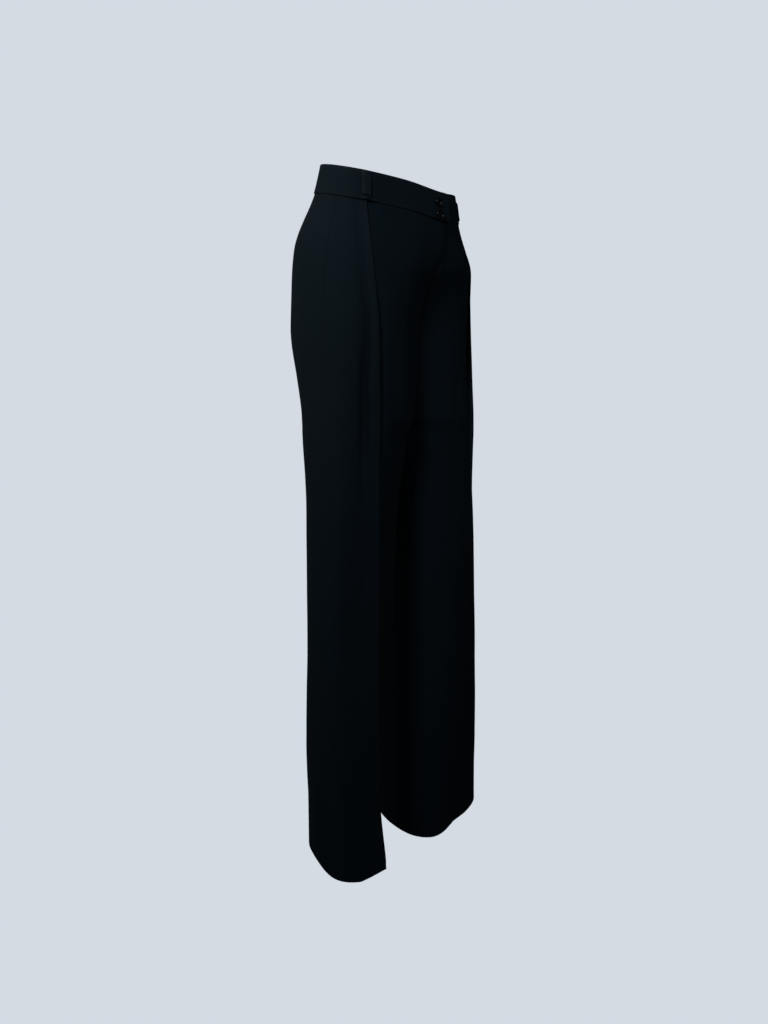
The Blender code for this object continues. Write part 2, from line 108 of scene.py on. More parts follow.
class Finish(Nodes):
    # a material: fixed values go straight onto its shader, the rest is fed by wires
    def __init__(self, name, fixed):
        self.material = bpy.data.materials.new(name)
        self.material.use_nodes = True
        super().__init__(self.material.node_tree)
        self.shader = self.tree.nodes["Principled BSDF"]
        for socket, value in fixed.items():
            self.shader.inputs[socket].default_value = value

    def give(self, socket, value):
        self.feed(self.shader.inputs[socket], value)

    def noise(self, scale, detail):
        place = self.add("ShaderNodeTexCoord", {}, {}, "Object")
        sockets = {"Vector": place, "Scale": scale, "Detail": detail}
        return self.add("ShaderNodeTexNoise", {}, sockets, "Fac")

    def mixed(self, share, low, high):
        # a colour between two others, each one fixed or a wire
        low, high = [shade if isinstance(shade, Wire) else (*shade, 1) for shade in (low, high)]
        return self.add("ShaderNodeMix", {"data_type": "RGBA"}, {"Factor": share, "A": low, "B": high})

    def bump(self, height, strength, distance):
        sockets = {"Height": height, "Strength": strength, "Distance": distance}
        self.give("Normal", self.add("ShaderNodeBump", {}, sockets))


def newPiece(name, points, faces, finish=None):
    mesh = bpy.data.meshes.new(name)
    mesh.from_pydata(points, [], faces)
    if finish:
        mesh.materials.append(finish)
    piece = bpy.data.objects.new(name, mesh)
    bpy.context.scene.collection.objects.link(piece)
    return piece


def reshape(mesh, *jobs):
    shaped = bmesh.new()
    shaped.from_mesh(mesh)
    for job in jobs:
        job(shaped)
    shaped.to_mesh(mesh)
    shaped.free()


def joinDoubles(shaped):
    bmesh.ops.remove_doubles(shaped, verts=shaped.verts, dist=2e-6)
    bmesh.ops.dissolve_degenerate(shaped, dist=1e-7, edges=shaped.edges)


def fillHoles(shaped):
    bmesh.ops.holes_fill(shaped, edges=[e for e in shaped.edges if e.is_boundary], sides=0)


def turnFacesOut(shaped):
    bmesh.ops.recalc_face_normals(shaped, faces=shaped.faces)


def ringFaces(rings, sides, base=0):
    # the faces between rings of points, and one that closes each end
    faces = []
    for i in range(rings - 1):
        for j in range(sides):
            a, b = base + i * sides + j, base + i * sides + (j + 1) % sides
            faces.append((a, b, b + sides, a + sides))
    last = base + (rings - 1) * sides
    faces.append(tuple(range(base, base + sides))[::-1])
    faces.append(tuple(range(last, last + sides)))
    return faces


# camera, floor and light

view = {
    "turn": -55.0,            # degrees round from the front, towards the wearer's right
    "distance": 1.80,
    "aside": 0.0105,
    "height": -0.365,
    "pitch": 4.0,
    "fieldHeight": 49.06,     # degrees from the frame's foot to its top
}
room = {
    "paper": (0.658, 0.708, 0.768),   # pale blue-grey of floor and surroundings
    "daylight": 0.03,         # how strongly the surroundings light the cloth
    "floorHeight": -1.35,
    "floorSize": 14.0,
}
# name, where it stands, what it faces, width, height, power, spread (degrees), colour
lamps = [
    ("keyLamp", (-0.95, 0.80, 0.90), (0.0, 0.0, 0.05), 0.5, 0.5, 3.2, 90, (1.0, 0.97, 0.93)),
    ("sideLamp", (-1.7, -0.45, 0.8), (0.0, 0.0, -0.1), 0.35, 0.35, 4.6, 110, (0.90, 0.95, 1.0)),
    ("frontLamp", (-0.2, -1.9, 0.7), (0.0, 0.0, -0.2), 0.6, 0.6, 2.7, 120, (0.93, 0.96, 1.0)),
    ("backLamp", (1.9, 1.6, 0.8), (0.0, 0.0, -0.5), 1.0, 1.8, 5.0, 150, (0.95, 0.97, 1.0)),
]


def setCamera():
    turn = math.radians(view["turn"])
    pitch = math.radians(view["pitch"])
    back = Vector((math.sin(turn), -math.cos(turn), 0))
    right = Vector((math.cos(turn), math.sin(turn), 0))
    look = -back * math.cos(pitch) - Vector((0, 0, math.sin(pitch)))
    lens = bpy.data.cameras.new("camera")
    lens.sensor_fit = "VERTICAL"
    lens.sensor_height = 24.0
    lens.lens = lens.sensor_height / 2 / math.tan(math.radians(view["fieldHeight"] / 2))
    lens.clip_start = 0.05
    camera = bpy.data.objects.new("camera", lens)
    camera.location = back * view["distance"] - right * view["aside"]
    camera.location.z = view["height"]
    camera.rotation_euler = look.to_track_quat("-Z", "Y").to_euler()
    bpy.context.scene.collection.objects.link(camera)
    bpy.context.scene.camera = camera


def setLight():
    # pale to look at, and dimmer as a light, as a room is behind a lit sheet of paper
    world = bpy.data.worlds.new("studio")
    world.use_nodes = True
    sky = Nodes(world.node_tree)
    paper = (*room["paper"], 1)
    seen = sky.add("ShaderNodeBackground", {}, {"Color": paper})
    felt = sky.add("ShaderNodeBackground", {}, {"Color": paper, "Strength": room["daylight"]})
    looking = sky.add("ShaderNodeLightPath", {}, {}, "Is Camera Ray")
    choice = sky.add("ShaderNodeMixShader", {}, {0: looking, 1: felt, 2: seen})
    sky.feed(sky.tree.nodes["World Output"].inputs["Surface"], choice)
    bpy.context.scene.world = world
    for name, place, target, width, height, power, spread, colour in lamps:
        lamp = bpy.data.lights.new(name, "AREA")
        lamp.shape = "RECTANGLE"
        lamp.size = width
        lamp.size_y = height
        lamp.energy = power
        lamp.spread = math.radians(spread)
        lamp.color = colour
        stand = bpy.data.objects.new(name, lamp)
        stand.location = place
        stand.rotation_euler = (Vector(target) - Vector(place)).to_track_quat("-Z", "Y").to_euler()
        bpy.context.scene.collection.objects.link(stand)
    bpy.context.scene.view_settings.view_transform = "Standard"


def setFloor():
    half = room["floorSize"] / 2
    corners = [(-half, -half, 0), (half, -half, 0), (half, half, 0), (-half, half, 0)]
    paper = Finish("paleFloor", {
        "Base Color": (0, 0, 0, 1),
        "Specular IOR Level": 0,
        "Emission Color": (*room["paper"], 1),
        "Emission Strength": 1.0,
    })
    floor = newPiece("floor", corners, [(0, 1, 2, 3)], paper.material)
    floor.location.z = room["floorHeight"]
    floor.visible_diffuse = False
    floor.visible_glossy = False


setCamera()
setLight()
setFloor()
print("camera, light and floor are set")

# finishes

crepe = {
    "deep": (0.0042, 0.0090, 0.0130),
    "plain": (0.0060, 0.0118, 0.0168),
    # lighter tone: wear at seams and hem, and painted highlight along creases and edges
    "wornAndHighlitTone": (0.0110, 0.0175, 0.0225),
    "yarn": 0.00052,          # one thread of warp or weft
    "pebble": 1900.0,         # grain of the crimped yarn, per metre
    "wander": 260.0,          # how finely the yarns leave their straight way
    "wanderBy": 0.0004,
    "cloud": 9.0,             # broad, faint change of tone
    "relief": 0.35,
    "reliefDepth": 0.00022,
}
thread = {
    "dark": (0.004, 0.006, 0.008),
    "light": (0.012, 0.015, 0.018),
    "twist": 2600.0,
    "relief": 0.4,
    "reliefDepth": 0.0001,
}
gloss = {
    "dark": (0.0008, 0.0009, 0.0011),
    "light": (0.003, 0.003, 0.0035),
    "marbling": 210.0,
    "scuff": 1500.0,
    "relief": 0.08,
    "reliefDepth": 0.00005,
}


def makeCrepe():
    finish = Finish("blackCrepe", {
        "Specular IOR Level": 0.04,
        "Sheen Weight": 0.012,
        "Sheen Roughness": 0.45,
        "Sheen Tint": (0.80, 0.92, 1.0, 1),
    })
    spot = finish.add("ShaderNodeUVMap", {"uv_map": "cloth"}, {})
    across = finish.add("ShaderNodeSeparateXYZ", {}, {"Vector": spot}, "X")
    along = finish.add("ShaderNodeSeparateXYZ", {}, {"Vector": spot}, "Y")
    pebble = finish.noise(crepe["pebble"], 3.0)
    wander = finish.noise(crepe["wander"], 2.0)
    warp = (across + wander * crepe["wanderBy"]).wave(crepe["yarn"])
    weft = (along + wander * crepe["wanderBy"]).wave(crepe["yarn"])
    weave = warp * 0.5 + weft * 0.5
    cloud = finish.noise(crepe["cloud"], 3.0)
    # where the cloth is worn at seams and hem, and where highlight is painted along pressed creases, the
    # pleat's edge and the edges of waistband and loops
    wearAndHighlight = finish.add("ShaderNodeAttribute", {"attribute_name": "wearAndHighlight"}, {}, "Fac")
    shade = (cloud * 0.7 + weave * 0.3 + pebble * 0.2 - 0.1).clamped()
    plain = finish.mixed(shade, crepe["deep"], crepe["plain"])
    # lighter there: partly wear, partly painted highlight
    wornAndHighlitShare = (wearAndHighlight * (0.5 + pebble * 0.5)).clamped()
    finish.give("Base Color", finish.mixed(wornAndHighlitShare, plain, crepe["wornAndHighlitTone"]))
    finish.give("Roughness", 0.90 - wearAndHighlight * 0.22 - cloud * 0.08)
    raised = weave * 0.5 + pebble * 0.8 + wander * 0.3
    finish.bump(raised, crepe["relief"], crepe["reliefDepth"])
    return finish.material


def makeThread():
    finish = Finish("blackThread", {
        "Roughness": 0.55,
        "Sheen Weight": 0.2,
        "Specular IOR Level": 0.4,
    })
    twist = finish.noise(thread["twist"], 1.0)
    shade = finish.mixed(twist, thread["dark"], thread["light"])
    finish.give("Base Color", shade)
    finish.bump(twist, thread["relief"], thread["reliefDepth"])
    return finish.material


def makeButtonGloss():
    finish = Finish("buttonGloss", {
        "Specular IOR Level": 0.15,
        "Coat Weight": 0.7,
        "Coat Roughness": 0.03,
    })
    marbling = finish.noise(gloss["marbling"], 3.0)
    scuff = finish.noise(gloss["scuff"], 2.0)
    shade = finish.mixed(marbling, gloss["dark"], gloss["light"])
    finish.give("Base Color", shade)
    finish.give("Roughness", 0.10 + scuff * 0.08)
    finish.bump(scuff, gloss["relief"], gloss["reliefDepth"])
    return finish.material


blackCrepe = makeCrepe()
blackThread = makeThread()
buttonGloss = makeButtonGloss()
print("finishes are made")

# the cut

# One row per level, in centimetres and degrees: z height; xo, ys side seam; xf, yf front crease;
# xb, yb back crease; xi inner edge with ya (front) and yc (back); a0 to a1 the outline's headings
# there, from the inner front edge round to the inner back edge, 0 outwards and 90 backwards.
levelColumns = "z xo ys xf yf xb yb xi ya yc a0 c1 c2 s1 d1 d2 a1".split()
legLevels = {
    "right": [
        (2.2, 13.0, 0.5, 11.8, -3.8, 7.6, 7.6, 0.0, -9.0, 9.0, 6, 36, 60, 92, 150, 150, 180),
        (-2.2, 13.5, 0.5, 12.1, -4.1, 8.1, 8.6, 0.0, -9.5, 10.0, 4, 36, 60, 92, 150, 150, 180),
        (-10., 15.3, 1.0, 12.9, -5.7, 9.0, 12.1, 0.0, -8.8, 13.0, -4, 26, 52, 92, 150, 150, 178),
        (-15., 16.0, 1.0, 13.0, -6.3, 9.2, 12.4, 0.0, -6.9, 13.3, -10, 20, 48, 92, 151, 153, 177),
        (-20., 16.4, 1.0, 13.0, -6.8, 9.4, 12.4, 0.0, -5.5, 13.2, -16, 16, 44, 92, 152, 156, 176),
        (-28., 16.7, 0.6, 13.0, -6.9, 9.6, 11.1, 0.0, -5.1, 11.4, -24, 12, 42, 92, 150, 160, 190),
        (-34., 17.0, 0.4, 12.6, -6.7, 9.6, 10.0, 0.0, -4.1, 6.6, -42, 8, 36, 92, 148, 168, 225),
        (-37., 17.1, 0.4, 12.5, -6.6, 9.7, 9.6, 0.1, 0.1, 0.1, -84, 2, 35, 92, 148, 174, 266),
        (-48., 17.5, 0.2, 12.4, -6.4, 9.8, 8.35, 1.6, 0.4, 0.4, -84, -14, 32, 94, 146, 186, 270),
        (-66., 18.0, 0.0, 12.2, -6.2, 9.9, 8.15, 2.2, 0.4, 0.4, -76, -22, 28, 98, 146, 190, 276),
        (-86., 18.3, 0.0, 12.0, -6.1, 10.0, 8.6, 2.6, 0.2, 0.2, -64, -29, 20, 103, 148, 190, 284),
        (-91., 18.4, -0.2, 11.9, -6.1, 10.0, 8.5, 2.7, 0.15, 0.15, -58, -27, 18, 104, 149, 190, 286),
        (-94.5, 18.4, -0.4, 12.0, -5.9, 10.0, 8.5, 3.1, 0.1, 0.1, -38, -32, 16, 104, 149, 190, 287),
        (-103.7, 18.6, -0.8, 10.7, -6.6, 10.0, 8.4, 3.0, 0.0, 0.0, -46, -36, 12, 106, 150, 190, 290),
    ],
    "left": [
        (2.2, 13.2, 0.5, 12.0, -4.1, 7.6, 7.6, 0.0, -9.0, 9.0, 6, 36, 60, 92, 150, 150, 180),
        (-2.2, 13.8, 0.5, 12.4, -4.6, 8.1, 8.6, 0.0, -9.5, 10.0, 4, 36, 60, 92, 150, 150, 180),
        (-10., 15.5, 1.0, 13.1, -6.9, 9.0, 12.1, 0.0, -8.9, 13.0, -4, 26, 50, 92, 150, 150, 178),
        (-15., 16.1, 1.0, 13.1, -6.7, 9.2, 12.4, 0.0, -6.9, 13.3, -10, 20, 46, 92, 151, 153, 177),
        (-20., 16.5, 1.0, 13.0, -6.8, 9.4, 12.4, 0.0, -5.5, 13.2, -16, 14, 40, 92, 152, 156, 176),
        (-28., 17.2, 0.7, 12.9, -7.1, 9.7, 11.3, 0.0, -5.1, 11.4, -24, 10, 36, 92, 150, 160, 190),
        (-34., 17.9, 0.6, 12.6, -7.6, 10.0, 10.2, 0.0, -4.1, 6.6, -42, 6, 30, 92, 148, 168, 225),
        (-37., 18.3, 0.6, 12.5, -7.7, 10.1, 10.0, 0.1, 0.1, 0.1, -84, 4, 28, 92, 148, 172, 266),
        (-48., 20.1, 0.8, 12.1, -7.7, 10.8, 9.6, 1.6, 0.4, 0.4, -88, 2, 20, 92, 148, 186, 268),
        (-66., 21.4, 1.0, 11.3, -7.2, 11.8, 9.4, 2.4, 0.4, 0.4, -88, 4, 13, 92, 148, 190, 268),
        (-86., 22.7, 1.3, 10.5, -6.5, 12.8, 9.3, 3.0, 0.0, 0.0, -88, 7, 10, 92, 150, 193, 268),
        (-103.2, 24.1, 1.8, 10.0, -5.6, 13.8, 9.9, 3.4, -0.4, -0.4, -90, 9, 10, 92, 150, 188, 268),
    ],
}
arcFullness = {"innerFront": 0.46, "outerFront": 0.42, "outerBack": 0.38, "innerBack": 0.42}

# The pleat: under is the cloth turned back below it, turn the angle it turns by, out how far its
# edge stands out, hollow the trough beside it. Centimetres high, then millimetres and degrees.
pleatColumns = "z under turn out hollow".split()
pleatLevels = [
    (2.2, 24.0, 180, 0.0, 0.0),
    (-2.2, 24.0, 180, 0.0, 0.6),
    (-7.0, 22.0, 180, 0.6, 1.6),
    (-14., 17.0, 178, 1.6, 2.0),
    (-20., 12.0, 165, 2.6, 4.5),
    (-26., 8.0, 130, 3.4, 9.0),
    (-32., 5.0, 95, 3.0, 11.0),
    (-38., 2.6, 55, 2.0, 8.0),
    (-44., 1.6, 22, 1.0, 3.0),
    (-52., 1.6, 0, 0.4, 0.6),
    (-104., 1.6, 0, 0.0, 0.0),
]
# The sunk line down the middle of the front, along the fly's edge: cm high, mm deep, mm wide.
middleLevels = [
    (2.2, 0.0, 3.0),
    (-2.6, 0.0, 3.0),
    (-4.5, 1.8, 3.4),
    (-10., 3.6, 3.6),
    (-20., 5.0, 3.8),
    (-31., 5.0, 4.2),
    (-35.2, 0.0, 4.0),
    (-104., 0.0, 4.0),
]
# Broad folds: share of the width from inner edge to side seam, heights where the fold starts, is
# deepest and ends (cm), width (cm) and depth (mm).
broadFolds = {
    "frontRight": [
        (0.72, -30, -62, -100, 2.6, -2.4),
        (0.86, -20, -48, -84, 2.8, 1.8),
    ],
    "frontLeft": [
        (0.30, -34, -60, -100, 2.6, 2.6),
        (0.68, -16, -44, -90, 2.6, -2.2),
        (0.82, -40, -72, -103, 3.2, 2.6),
    ],
    "backRight": [
        (0.72, -24, -52, -98, 3.2, 3.2),
        (0.52, -16, -44, -80, 3.0, -2.4),
        (0.26, -34, -60, -102, 3.2, 3.0),
    ],
    "backLeft": [
        (0.74, -26, -56, -100, 3.6, 3.6),
        (0.50, -18, -46, -86, 3.2, -2.6),
        (0.24, -36, -64, -102, 3.4, 3.2),
    ],
}
# Small creases: start and end as (cm from the inner edge, height in cm), half width and depth in
# mm. They fade towards both ends.
smallCreases = {
    "frontRight": [
        ((14.6, -3.0), (14.9, -9.0), 4.0, -0.8),
        ((1.2, -33.0), (6.5, -27.0), 6.0, -1.3),
        ((2.6, -38.5), (8.6, -35.5), 7.0, -1.1),
        ((8.5, -12.0), (9.6, -24.0), 9.0, -0.7),
        ((16.5, -44.0), (17.6, -66.0), 8.0, -0.9),
        ((7.4, -52.0), (6.6, -78.0), 10.0, 0.9),
        ((15.2, -78.0), (14.4, -99.0), 9.0, 0.8),
        ((4.2, -92.0), (9.8, -98.5), 8.0, -0.7),
    ],
    "frontLeft": [
        ((1.2, -33.5), (6.0, -28.0), 6.0, -1.2),
        ((9.4, -26.0), (9.0, -36.0), 7.0, -1.6),
        ((2.4, -39.0), (8.0, -36.0), 7.0, -1.0),
        ((8.0, -58.0), (7.2, -86.0), 10.0, -1.0),
        ((18.0, -50.0), (20.5, -80.0), 11.0, -1.2),
        ((22.5, -76.0), (23.6, -98.0), 10.0, 1.0),
    ],
    "backRight": [
        ((1.5, -33.0), (9.5, -26.5), 9.0, -1.9),
        ((2.2, -37.5), (12.0, -33.5), 10.0, -1.6),
        ((4.0, -44.0), (11.5, -38.5), 8.0, -1.1),
        ((16.0, -10.0), (14.0, -19.0), 9.0, -0.9),
        ((9.0, -62.0), (8.2, -84.0), 10.0, 1.3),
        ((19.5, -70.0), (20.4, -97.0), 11.0, 1.2),
    ],
    "backLeft": [
        ((1.5, -33.5), (10.5, -27.0), 9.0, -1.8),
        ((2.4, -38.0), (12.6, -34.5), 10.0, -1.7),
        ((4.4, -45.5), (12.0, -40.0), 8.0, -1.0),
        ((15.0, -11.0), (13.4, -21.0), 9.0, -0.8),
        ((9.6, -66.0), (9.0, -90.0), 11.0, 1.4),
        ((21.5, -60.0), (23.2, -94.0), 12.0, 1.3),
    ],
}
folding = {
    "panelWidth": 22.0,       # of a usual panel, cm
    "drift": 0.02,            # share of the width that a broad fold wanders by
    "driftTurn": 0.09,
    "bow": 0.1,               # of a small crease, per length
    "fromSeam": 0.02,         # broad folds reach full depth this far from a seam
    "pastPleat": 0.03,
    "smallFromSeam": 0.006,
    "smallPastPleat": 0.01,
}
pucker = {
    "long": 0.013,
    "short": 0.0071,
    "depth": 0.00013,
    "reach": 0.005,           # from the seam
    "clear": 0.0015,          # flat next to the seam
}
# depth, and how often it changes across and down
unrest = {"broad": (0.00045, 11, 5.5), "fine": (0.00012, 60, 32)}
# how much lighter the cloth is made: by wear at seams and hem, by painted highlight along pressed
# creases; and over what width
wearAndHighlightShares = {"seam": 0.06, "seamWidth": 0.0012, "crease": 0.25, "hem": 0.2, "hemWidth": 0.002}
# where a pressed crease starts and how far down it is full, and its half width
pressing = {"front": (-0.34, 0.12), "back": (-0.30, 0.15), "width": 0.0022}
cloth = {
    "wall": 0.0007,
    "seamGap": 0.0003,
    "seamEdge": 0.00034,      # from the seam to the middle of the turned edge's wall
    "seamRadius": 0.00038,    # of the turned edge at a seam
    "seamAllowance": 0.012,
    "hemRadius": 0.00085,
    "hemDepth": 0.038,
    "hemClear": 0.0008,       # from the fold to the first row inside
    "hemLines": 5,            # rows inside the hem
    "foldRadius": 0.0009,
    "creaseBend": 0.0022,
    "creaseRidge": 0.0005,    # a pressed crease stands up by this
    "backBend": 0.0002,       # from the back's crease to the rows beside it
    "fork": -0.37,
    "bandTop": 0.022,
    "bandFoot": -0.022,
    "waistGap": 0.0005,
    "middleGap": 0.00002,     # left clear at the middle, where the legs meet
    "middleHalf": 0.00036,    # a little over half a panel's wall
    "rowStep": 0.005,
}
# The waist's slope towards the front, the dip at its middle, and how far down both fade out.
waistLine = {
    "slope": 0.24,
    "levelAt": -0.038,
    "dip": 0.005,
    "dipWidth": 0.05,
    "fade": 0.20,
}
pleatShape = {
    "ramp": 0.022,            # before the fold, where the underlay comes down
    "stand": 0.018,           # past the edge, where its stand-off fades
    "trough": 0.013,          # from the edge to the trough beside it, and more further down
    "troughShift": 0.008,
    "shiftFrom": -0.19,
    "shiftFade": 0.12,
    "troughWidth": 0.0064,
    "edgeHighlightWidth": 0.0016,      # painted highlight along the edge
}
flyEdge = {
    "width": 0.0165,          # cloth that laps over the left front, under the waistband
    "foot": -0.105,
    "taper": 0.8,
    "rise": 0.0022,           # stand-off from the left front
    "riseFade": 0.03,         # up from its foot
    "fade": 0.022,            # over this much of the right front
    "lipFade": 0.006,         # where the right front's round lip turns into its allowance
}
hemShapes = {
    "right": {"back": 0.034, "depth": 0.10, "outer": 0.16, "inner": 0.15, "crease": 0.0},
    "left": {"back": 0.024, "depth": 0.14, "outer": 0.10, "inner": 0.0, "crease": 0.013},
}
hemLine = {
    "front": -0.05,           # the back's rise starts here
    "inside": 0.05,           # the crease's rise, from here
    "across": 0.06,           # over this much
    "middle": 0.155,          # the outer and inner rises start here
    "start": -0.75,           # height where the hem's shape begins
    "fade": 0.25,
}
signOf = {"right": -1.0, "left": 1.0}


def scaled(rows, lengths, factor):
    table = np.array(rows, float)
    table[:, lengths] *= factor
    return table


levelTables = {side: scaled(rows, slice(0, 10), 0.01) for side, rows in legLevels.items()}
pleatTable = scaled(scaled(pleatLevels, [1, 3, 4], 0.001), [0], 0.01)
middleTable = scaled(scaled(middleLevels, [1, 2], 0.001), [0], 0.01)


def smooth(t):
    t = np.clip(t, 0.0, 1.0)
    return t * t * (3 - 2 * t)


def atHeight(table, z):
    # a table's row at height z, on a curve through its rows that never overshoots them
    heights = table[:, 0]
    i = int(np.clip(np.searchsorted(-heights, -z, side="right") - 1, 0, len(heights) - 2))

    def slope(k):
        if k in (0, len(heights) - 1):
            j = 0 if k == 0 else k - 1
            return (table[j + 1] - table[j]) / (heights[j + 1] - heights[j])
        above = (table[k] - table[k - 1]) / (heights[k] - heights[k - 1])
        below = (table[k + 1] - table[k]) / (heights[k + 1] - heights[k])
        gapAbove = heights[k - 1] - heights[k]
        gapBelow = heights[k] - heights[k + 1]
        mean = (above * gapBelow + below * gapAbove) / (gapAbove + gapBelow)
        least = 2.5 * np.minimum(np.abs(above), np.abs(below))
        return np.where(above * below > 0, np.sign(mean) * np.minimum(np.abs(mean), least), 0.0)

    step = heights[i + 1] - heights[i]
    t = (z - heights[i]) / step
    start = (2 * t**3 - 3 * t**2 + 1) * table[i] + (t**3 - 2 * t**2 + t) * step * slope(i)
    end = (3 * t**2 - 2 * t**3) * table[i + 1] + (t**3 - t**2) * step * slope(i + 1)
    return start + end


def lifted(x, y, z):
    # the waist drops towards the middle of the front
    line = waistLine
    drop = line["slope"] * (y - line["levelAt"]) - line["dip"] * np.exp(-((x / line["dipWidth"]) ** 2))
    return z + smooth((z + line["fade"]) / line["fade"]) * drop


def hemRise(side, x, y, z):
    # the hem hangs lowest in front and rises towards the back and the side seam
    hem, line = hemShapes[side], hemLine
    rise = hem["back"] * smooth((y - line["front"]) / hem["depth"])
    rise += hem["crease"] * smooth((x - line["inside"]) / line["across"])
    rise += hem["outer"] * np.maximum(0.0, x - line["middle"])
    rise += hem["inner"] * np.maximum(0.0, line["middle"] - x)
    return smooth((line["start"] - z) / line["fade"]) * rise


def arcBetween(start, heading, end, arrival, fullness):
    start, end = np.array(start), np.array(end)
    reach = fullness * np.linalg.norm(end - start)
    go = np.array([math.cos(math.radians(heading)), math.sin(math.radians(heading))])
    come = np.array([math.cos(math.radians(arrival)), math.sin(math.radians(arrival))])
    t = np.linspace(0, 1, 48)[:, None]
    near, far = start + go * reach, end - come * reach
    return (1 - t)**3 * start + 3 * t * (1 - t)**2 * near + 3 * t * t * (1 - t) * far + t**3 * end


class Outline:
    # a level's curve as (outwards, backwards) points, read by the length along it
    soften = 0.003

    def __init__(self, points, facing=1.0):
        keep = np.r_[True, np.linalg.norm(np.diff(points, axis=0), axis=1) > 1e-7]
        self.points = points[keep]
        steps = np.linalg.norm(np.diff(self.points, axis=0), axis=1)
        self.along = np.r_[0.0, np.cumsum(steps)]
        self.length = self.along[-1]
        self.facing = facing

    def pointsAt(self, s):
        x = np.interp(s, self.along, self.points[:, 0])
        y = np.interp(s, self.along, self.points[:, 1])
        return np.stack([x, y], axis=-1)

    def outward(self, s):
        low = np.maximum(0.0, s - self.soften)
        high = np.minimum(self.length, s + self.soften)
        way = self.pointsAt(high) - self.pointsAt(low)
        way /= np.linalg.norm(way, axis=-1, keepdims=True)
        return np.stack([way[..., 1], -way[..., 0]], axis=-1) * self.facing

    def moved(self, s, out):
        # the points at s, moved out; past either end the curve goes on straight
        s = np.asarray(s, float)
        inside = np.clip(s, 0.0, self.length)
        normal = self.outward(inside)
        way = np.stack([-normal[..., 1], normal[..., 0]], axis=-1) * self.facing
        past = (s - inside)[..., None]
        return self.pointsAt(inside) + way * past + normal * np.asarray(out)[..., None]


def levelOf(side, z):
    row = dict(zip(levelColumns, atHeight(levelTables[side], z)))
    if z < cloth["fork"]:
        row["yc"] = row["ya"]
    return row


def frontOutline(side, z):
    row = levelOf(side, z)
    crease = (row["xf"], row["yf"])
    inner = arcBetween((row["xi"], row["ya"]), row["a0"], crease, row["c1"],
                       arcFullness["innerFront"])
    outer = arcBetween(crease, row["c2"], (row["xo"], row["ys"]), row["s1"],
                       arcFullness["outerFront"])
    outline = Outline(np.concatenate([inner, outer]))
    return outline, outline.along[len(inner) - 1], row


def backOutline(side, z):
    row = levelOf(side, z)
    crease = (row["xb"], row["yb"])
    outer = arcBetween((row["xo"], row["ys"]), row["s1"], crease, row["d1"],
                       arcFullness["outerBack"])
    inner = arcBetween(crease, row["d2"], (row["xi"], row["yc"]), row["a1"],
                       arcFullness["innerBack"])
    outline = Outline(np.concatenate([outer, inner])[::-1], facing=-1.0)
    return outline, outline.length - outline.along[len(outer) - 1], row


def broadFoldOut(panel, share, z):
    total = np.zeros_like(share)
    height = 100 * z
    for place, top, peak, foot, width, depth in broadFolds[panel]:
        if not foot < height < top:
            continue
        span = (top - peak) if height > peak else (peak - foot)
        rise = smooth(1 - abs(height - peak) / span)
        drift = folding["drift"] * math.sin(folding["driftTurn"] * height + 7 * place)
        offset = (share - place - drift) * folding["panelWidth"] / width
        total += 0.001 * depth * rise * np.exp(-offset * offset)
    return total


def smallCreaseOut(panel, s, z):
    total = np.zeros_like(s)
    for start, end, width, depth in smallCreases[panel]:
        a, b = np.array(start) * 0.01, np.array(end) * 0.01
        way = b - a
        t = ((s - a[0]) * way[0] + (z - a[1]) * way[1]) / way.dot(way)
        t = np.clip(t, 0.0, 1.0)
        bow = folding["bow"] * np.linalg.norm(way) * np.sin(math.pi * t)
        distance = np.hypot(s - a[0] - t * way[0] + bow, z - a[1] - t * way[1])
        fade = (4 * t * (1 - t)) ** 0.7
        total += 0.001 * depth * fade * np.exp(-((distance / (0.001 * width)) ** 2))
    return total


def restlessOut(panel, s, z):
    # the cloth is never quite even
    seed = 10.0 * sum(map(ord, panel)) / 100
    broad, broadAcross, broadDown = unrest["broad"]
    fine, fineAcross, fineDown = unrest["fine"]
    return np.array([
        broad * noise.noise(Vector((broadAcross * x + seed, seed, broadDown * z)))
        + fine * noise.noise(Vector((fineAcross * x, seed, fineDown * z + seed)))
        for x in s
    ])


def puckerOut(fromSeam, z, phase):
    turn = 2 * math.pi * z
    wave = math.sin(turn / pucker["long"] + phase) + 0.6 * math.sin(turn / pucker["short"] + 2 * phase)
    return (pucker["depth"] * wave * np.exp(-fromSeam / pucker["reach"])
            * smooth(fromSeam / pucker["clear"]))


def pleatBend(pleat):
    # the pleat's turns as (along, out) points, from the inner layer to the visible edge
    bends, between = 10, 8
    turn = math.radians(pleat["turn"])
    bend = max(cloth["foldRadius"] * turn, cloth["creaseBend"])
    headings = [turn * (k + 0.5) / bends for k in range(bends)]
    headings += [turn] * between + headings[::-1]
    lengths = [bend / bends] * bends + [pleat["under"] / between] * between + [bend / bends] * bends
    steps = np.array([(c * math.cos(h), c * math.sin(h)) for h, c in zip(headings, lengths)])
    path = np.r_[[(0.0, 0.0)], np.cumsum(steps, axis=0)]
    flat = smooth(1 - turn / (math.pi / 2))
    edgeAt = cloth["foldRadius"] * (1 - flat) + (bend + pleat["under"] / 2) * flat
    return path + (np.array([edgeAt, pleat["out"]]) - path[-1])


# steps away from an edge or a fold, and those from the middle of the front
edgeSteps = np.array([0.0, 0.0006, 0.0014, 0.0024, 0.0038, 0.0058])
middleSteps = np.r_[edgeSteps, np.arange(0.0071, 0.0250, 0.0013)]


def spacedBetween(start, end, count, steps=edgeSteps):
    # places from start to end, closer together at a seam or a fold
    head, tail = start + steps, end - edgeSteps[::-1]
    middle = np.linspace(head[-1], tail[0], count + 2)[1:-1]
    return np.concatenate([head, middle, tail])


curlAngles = np.linspace(0, math.pi, 7)[1:]
# How the waist's allowance goes up behind the waistband: height above the panel, and how far in.
waistTuck = [(0.0002, 0.00015), (0.0006, 0.0005), (0.0011, 0.00085), (0.0018, 0.00105),
             (0.0026, 0.0011), (0.0043, 0.0011), (0.0060, 0.0011), (0.0077, 0.0011), (0.0094, 0.0011)]
allowanceShares = np.linspace(0, 1, 5)[1:]


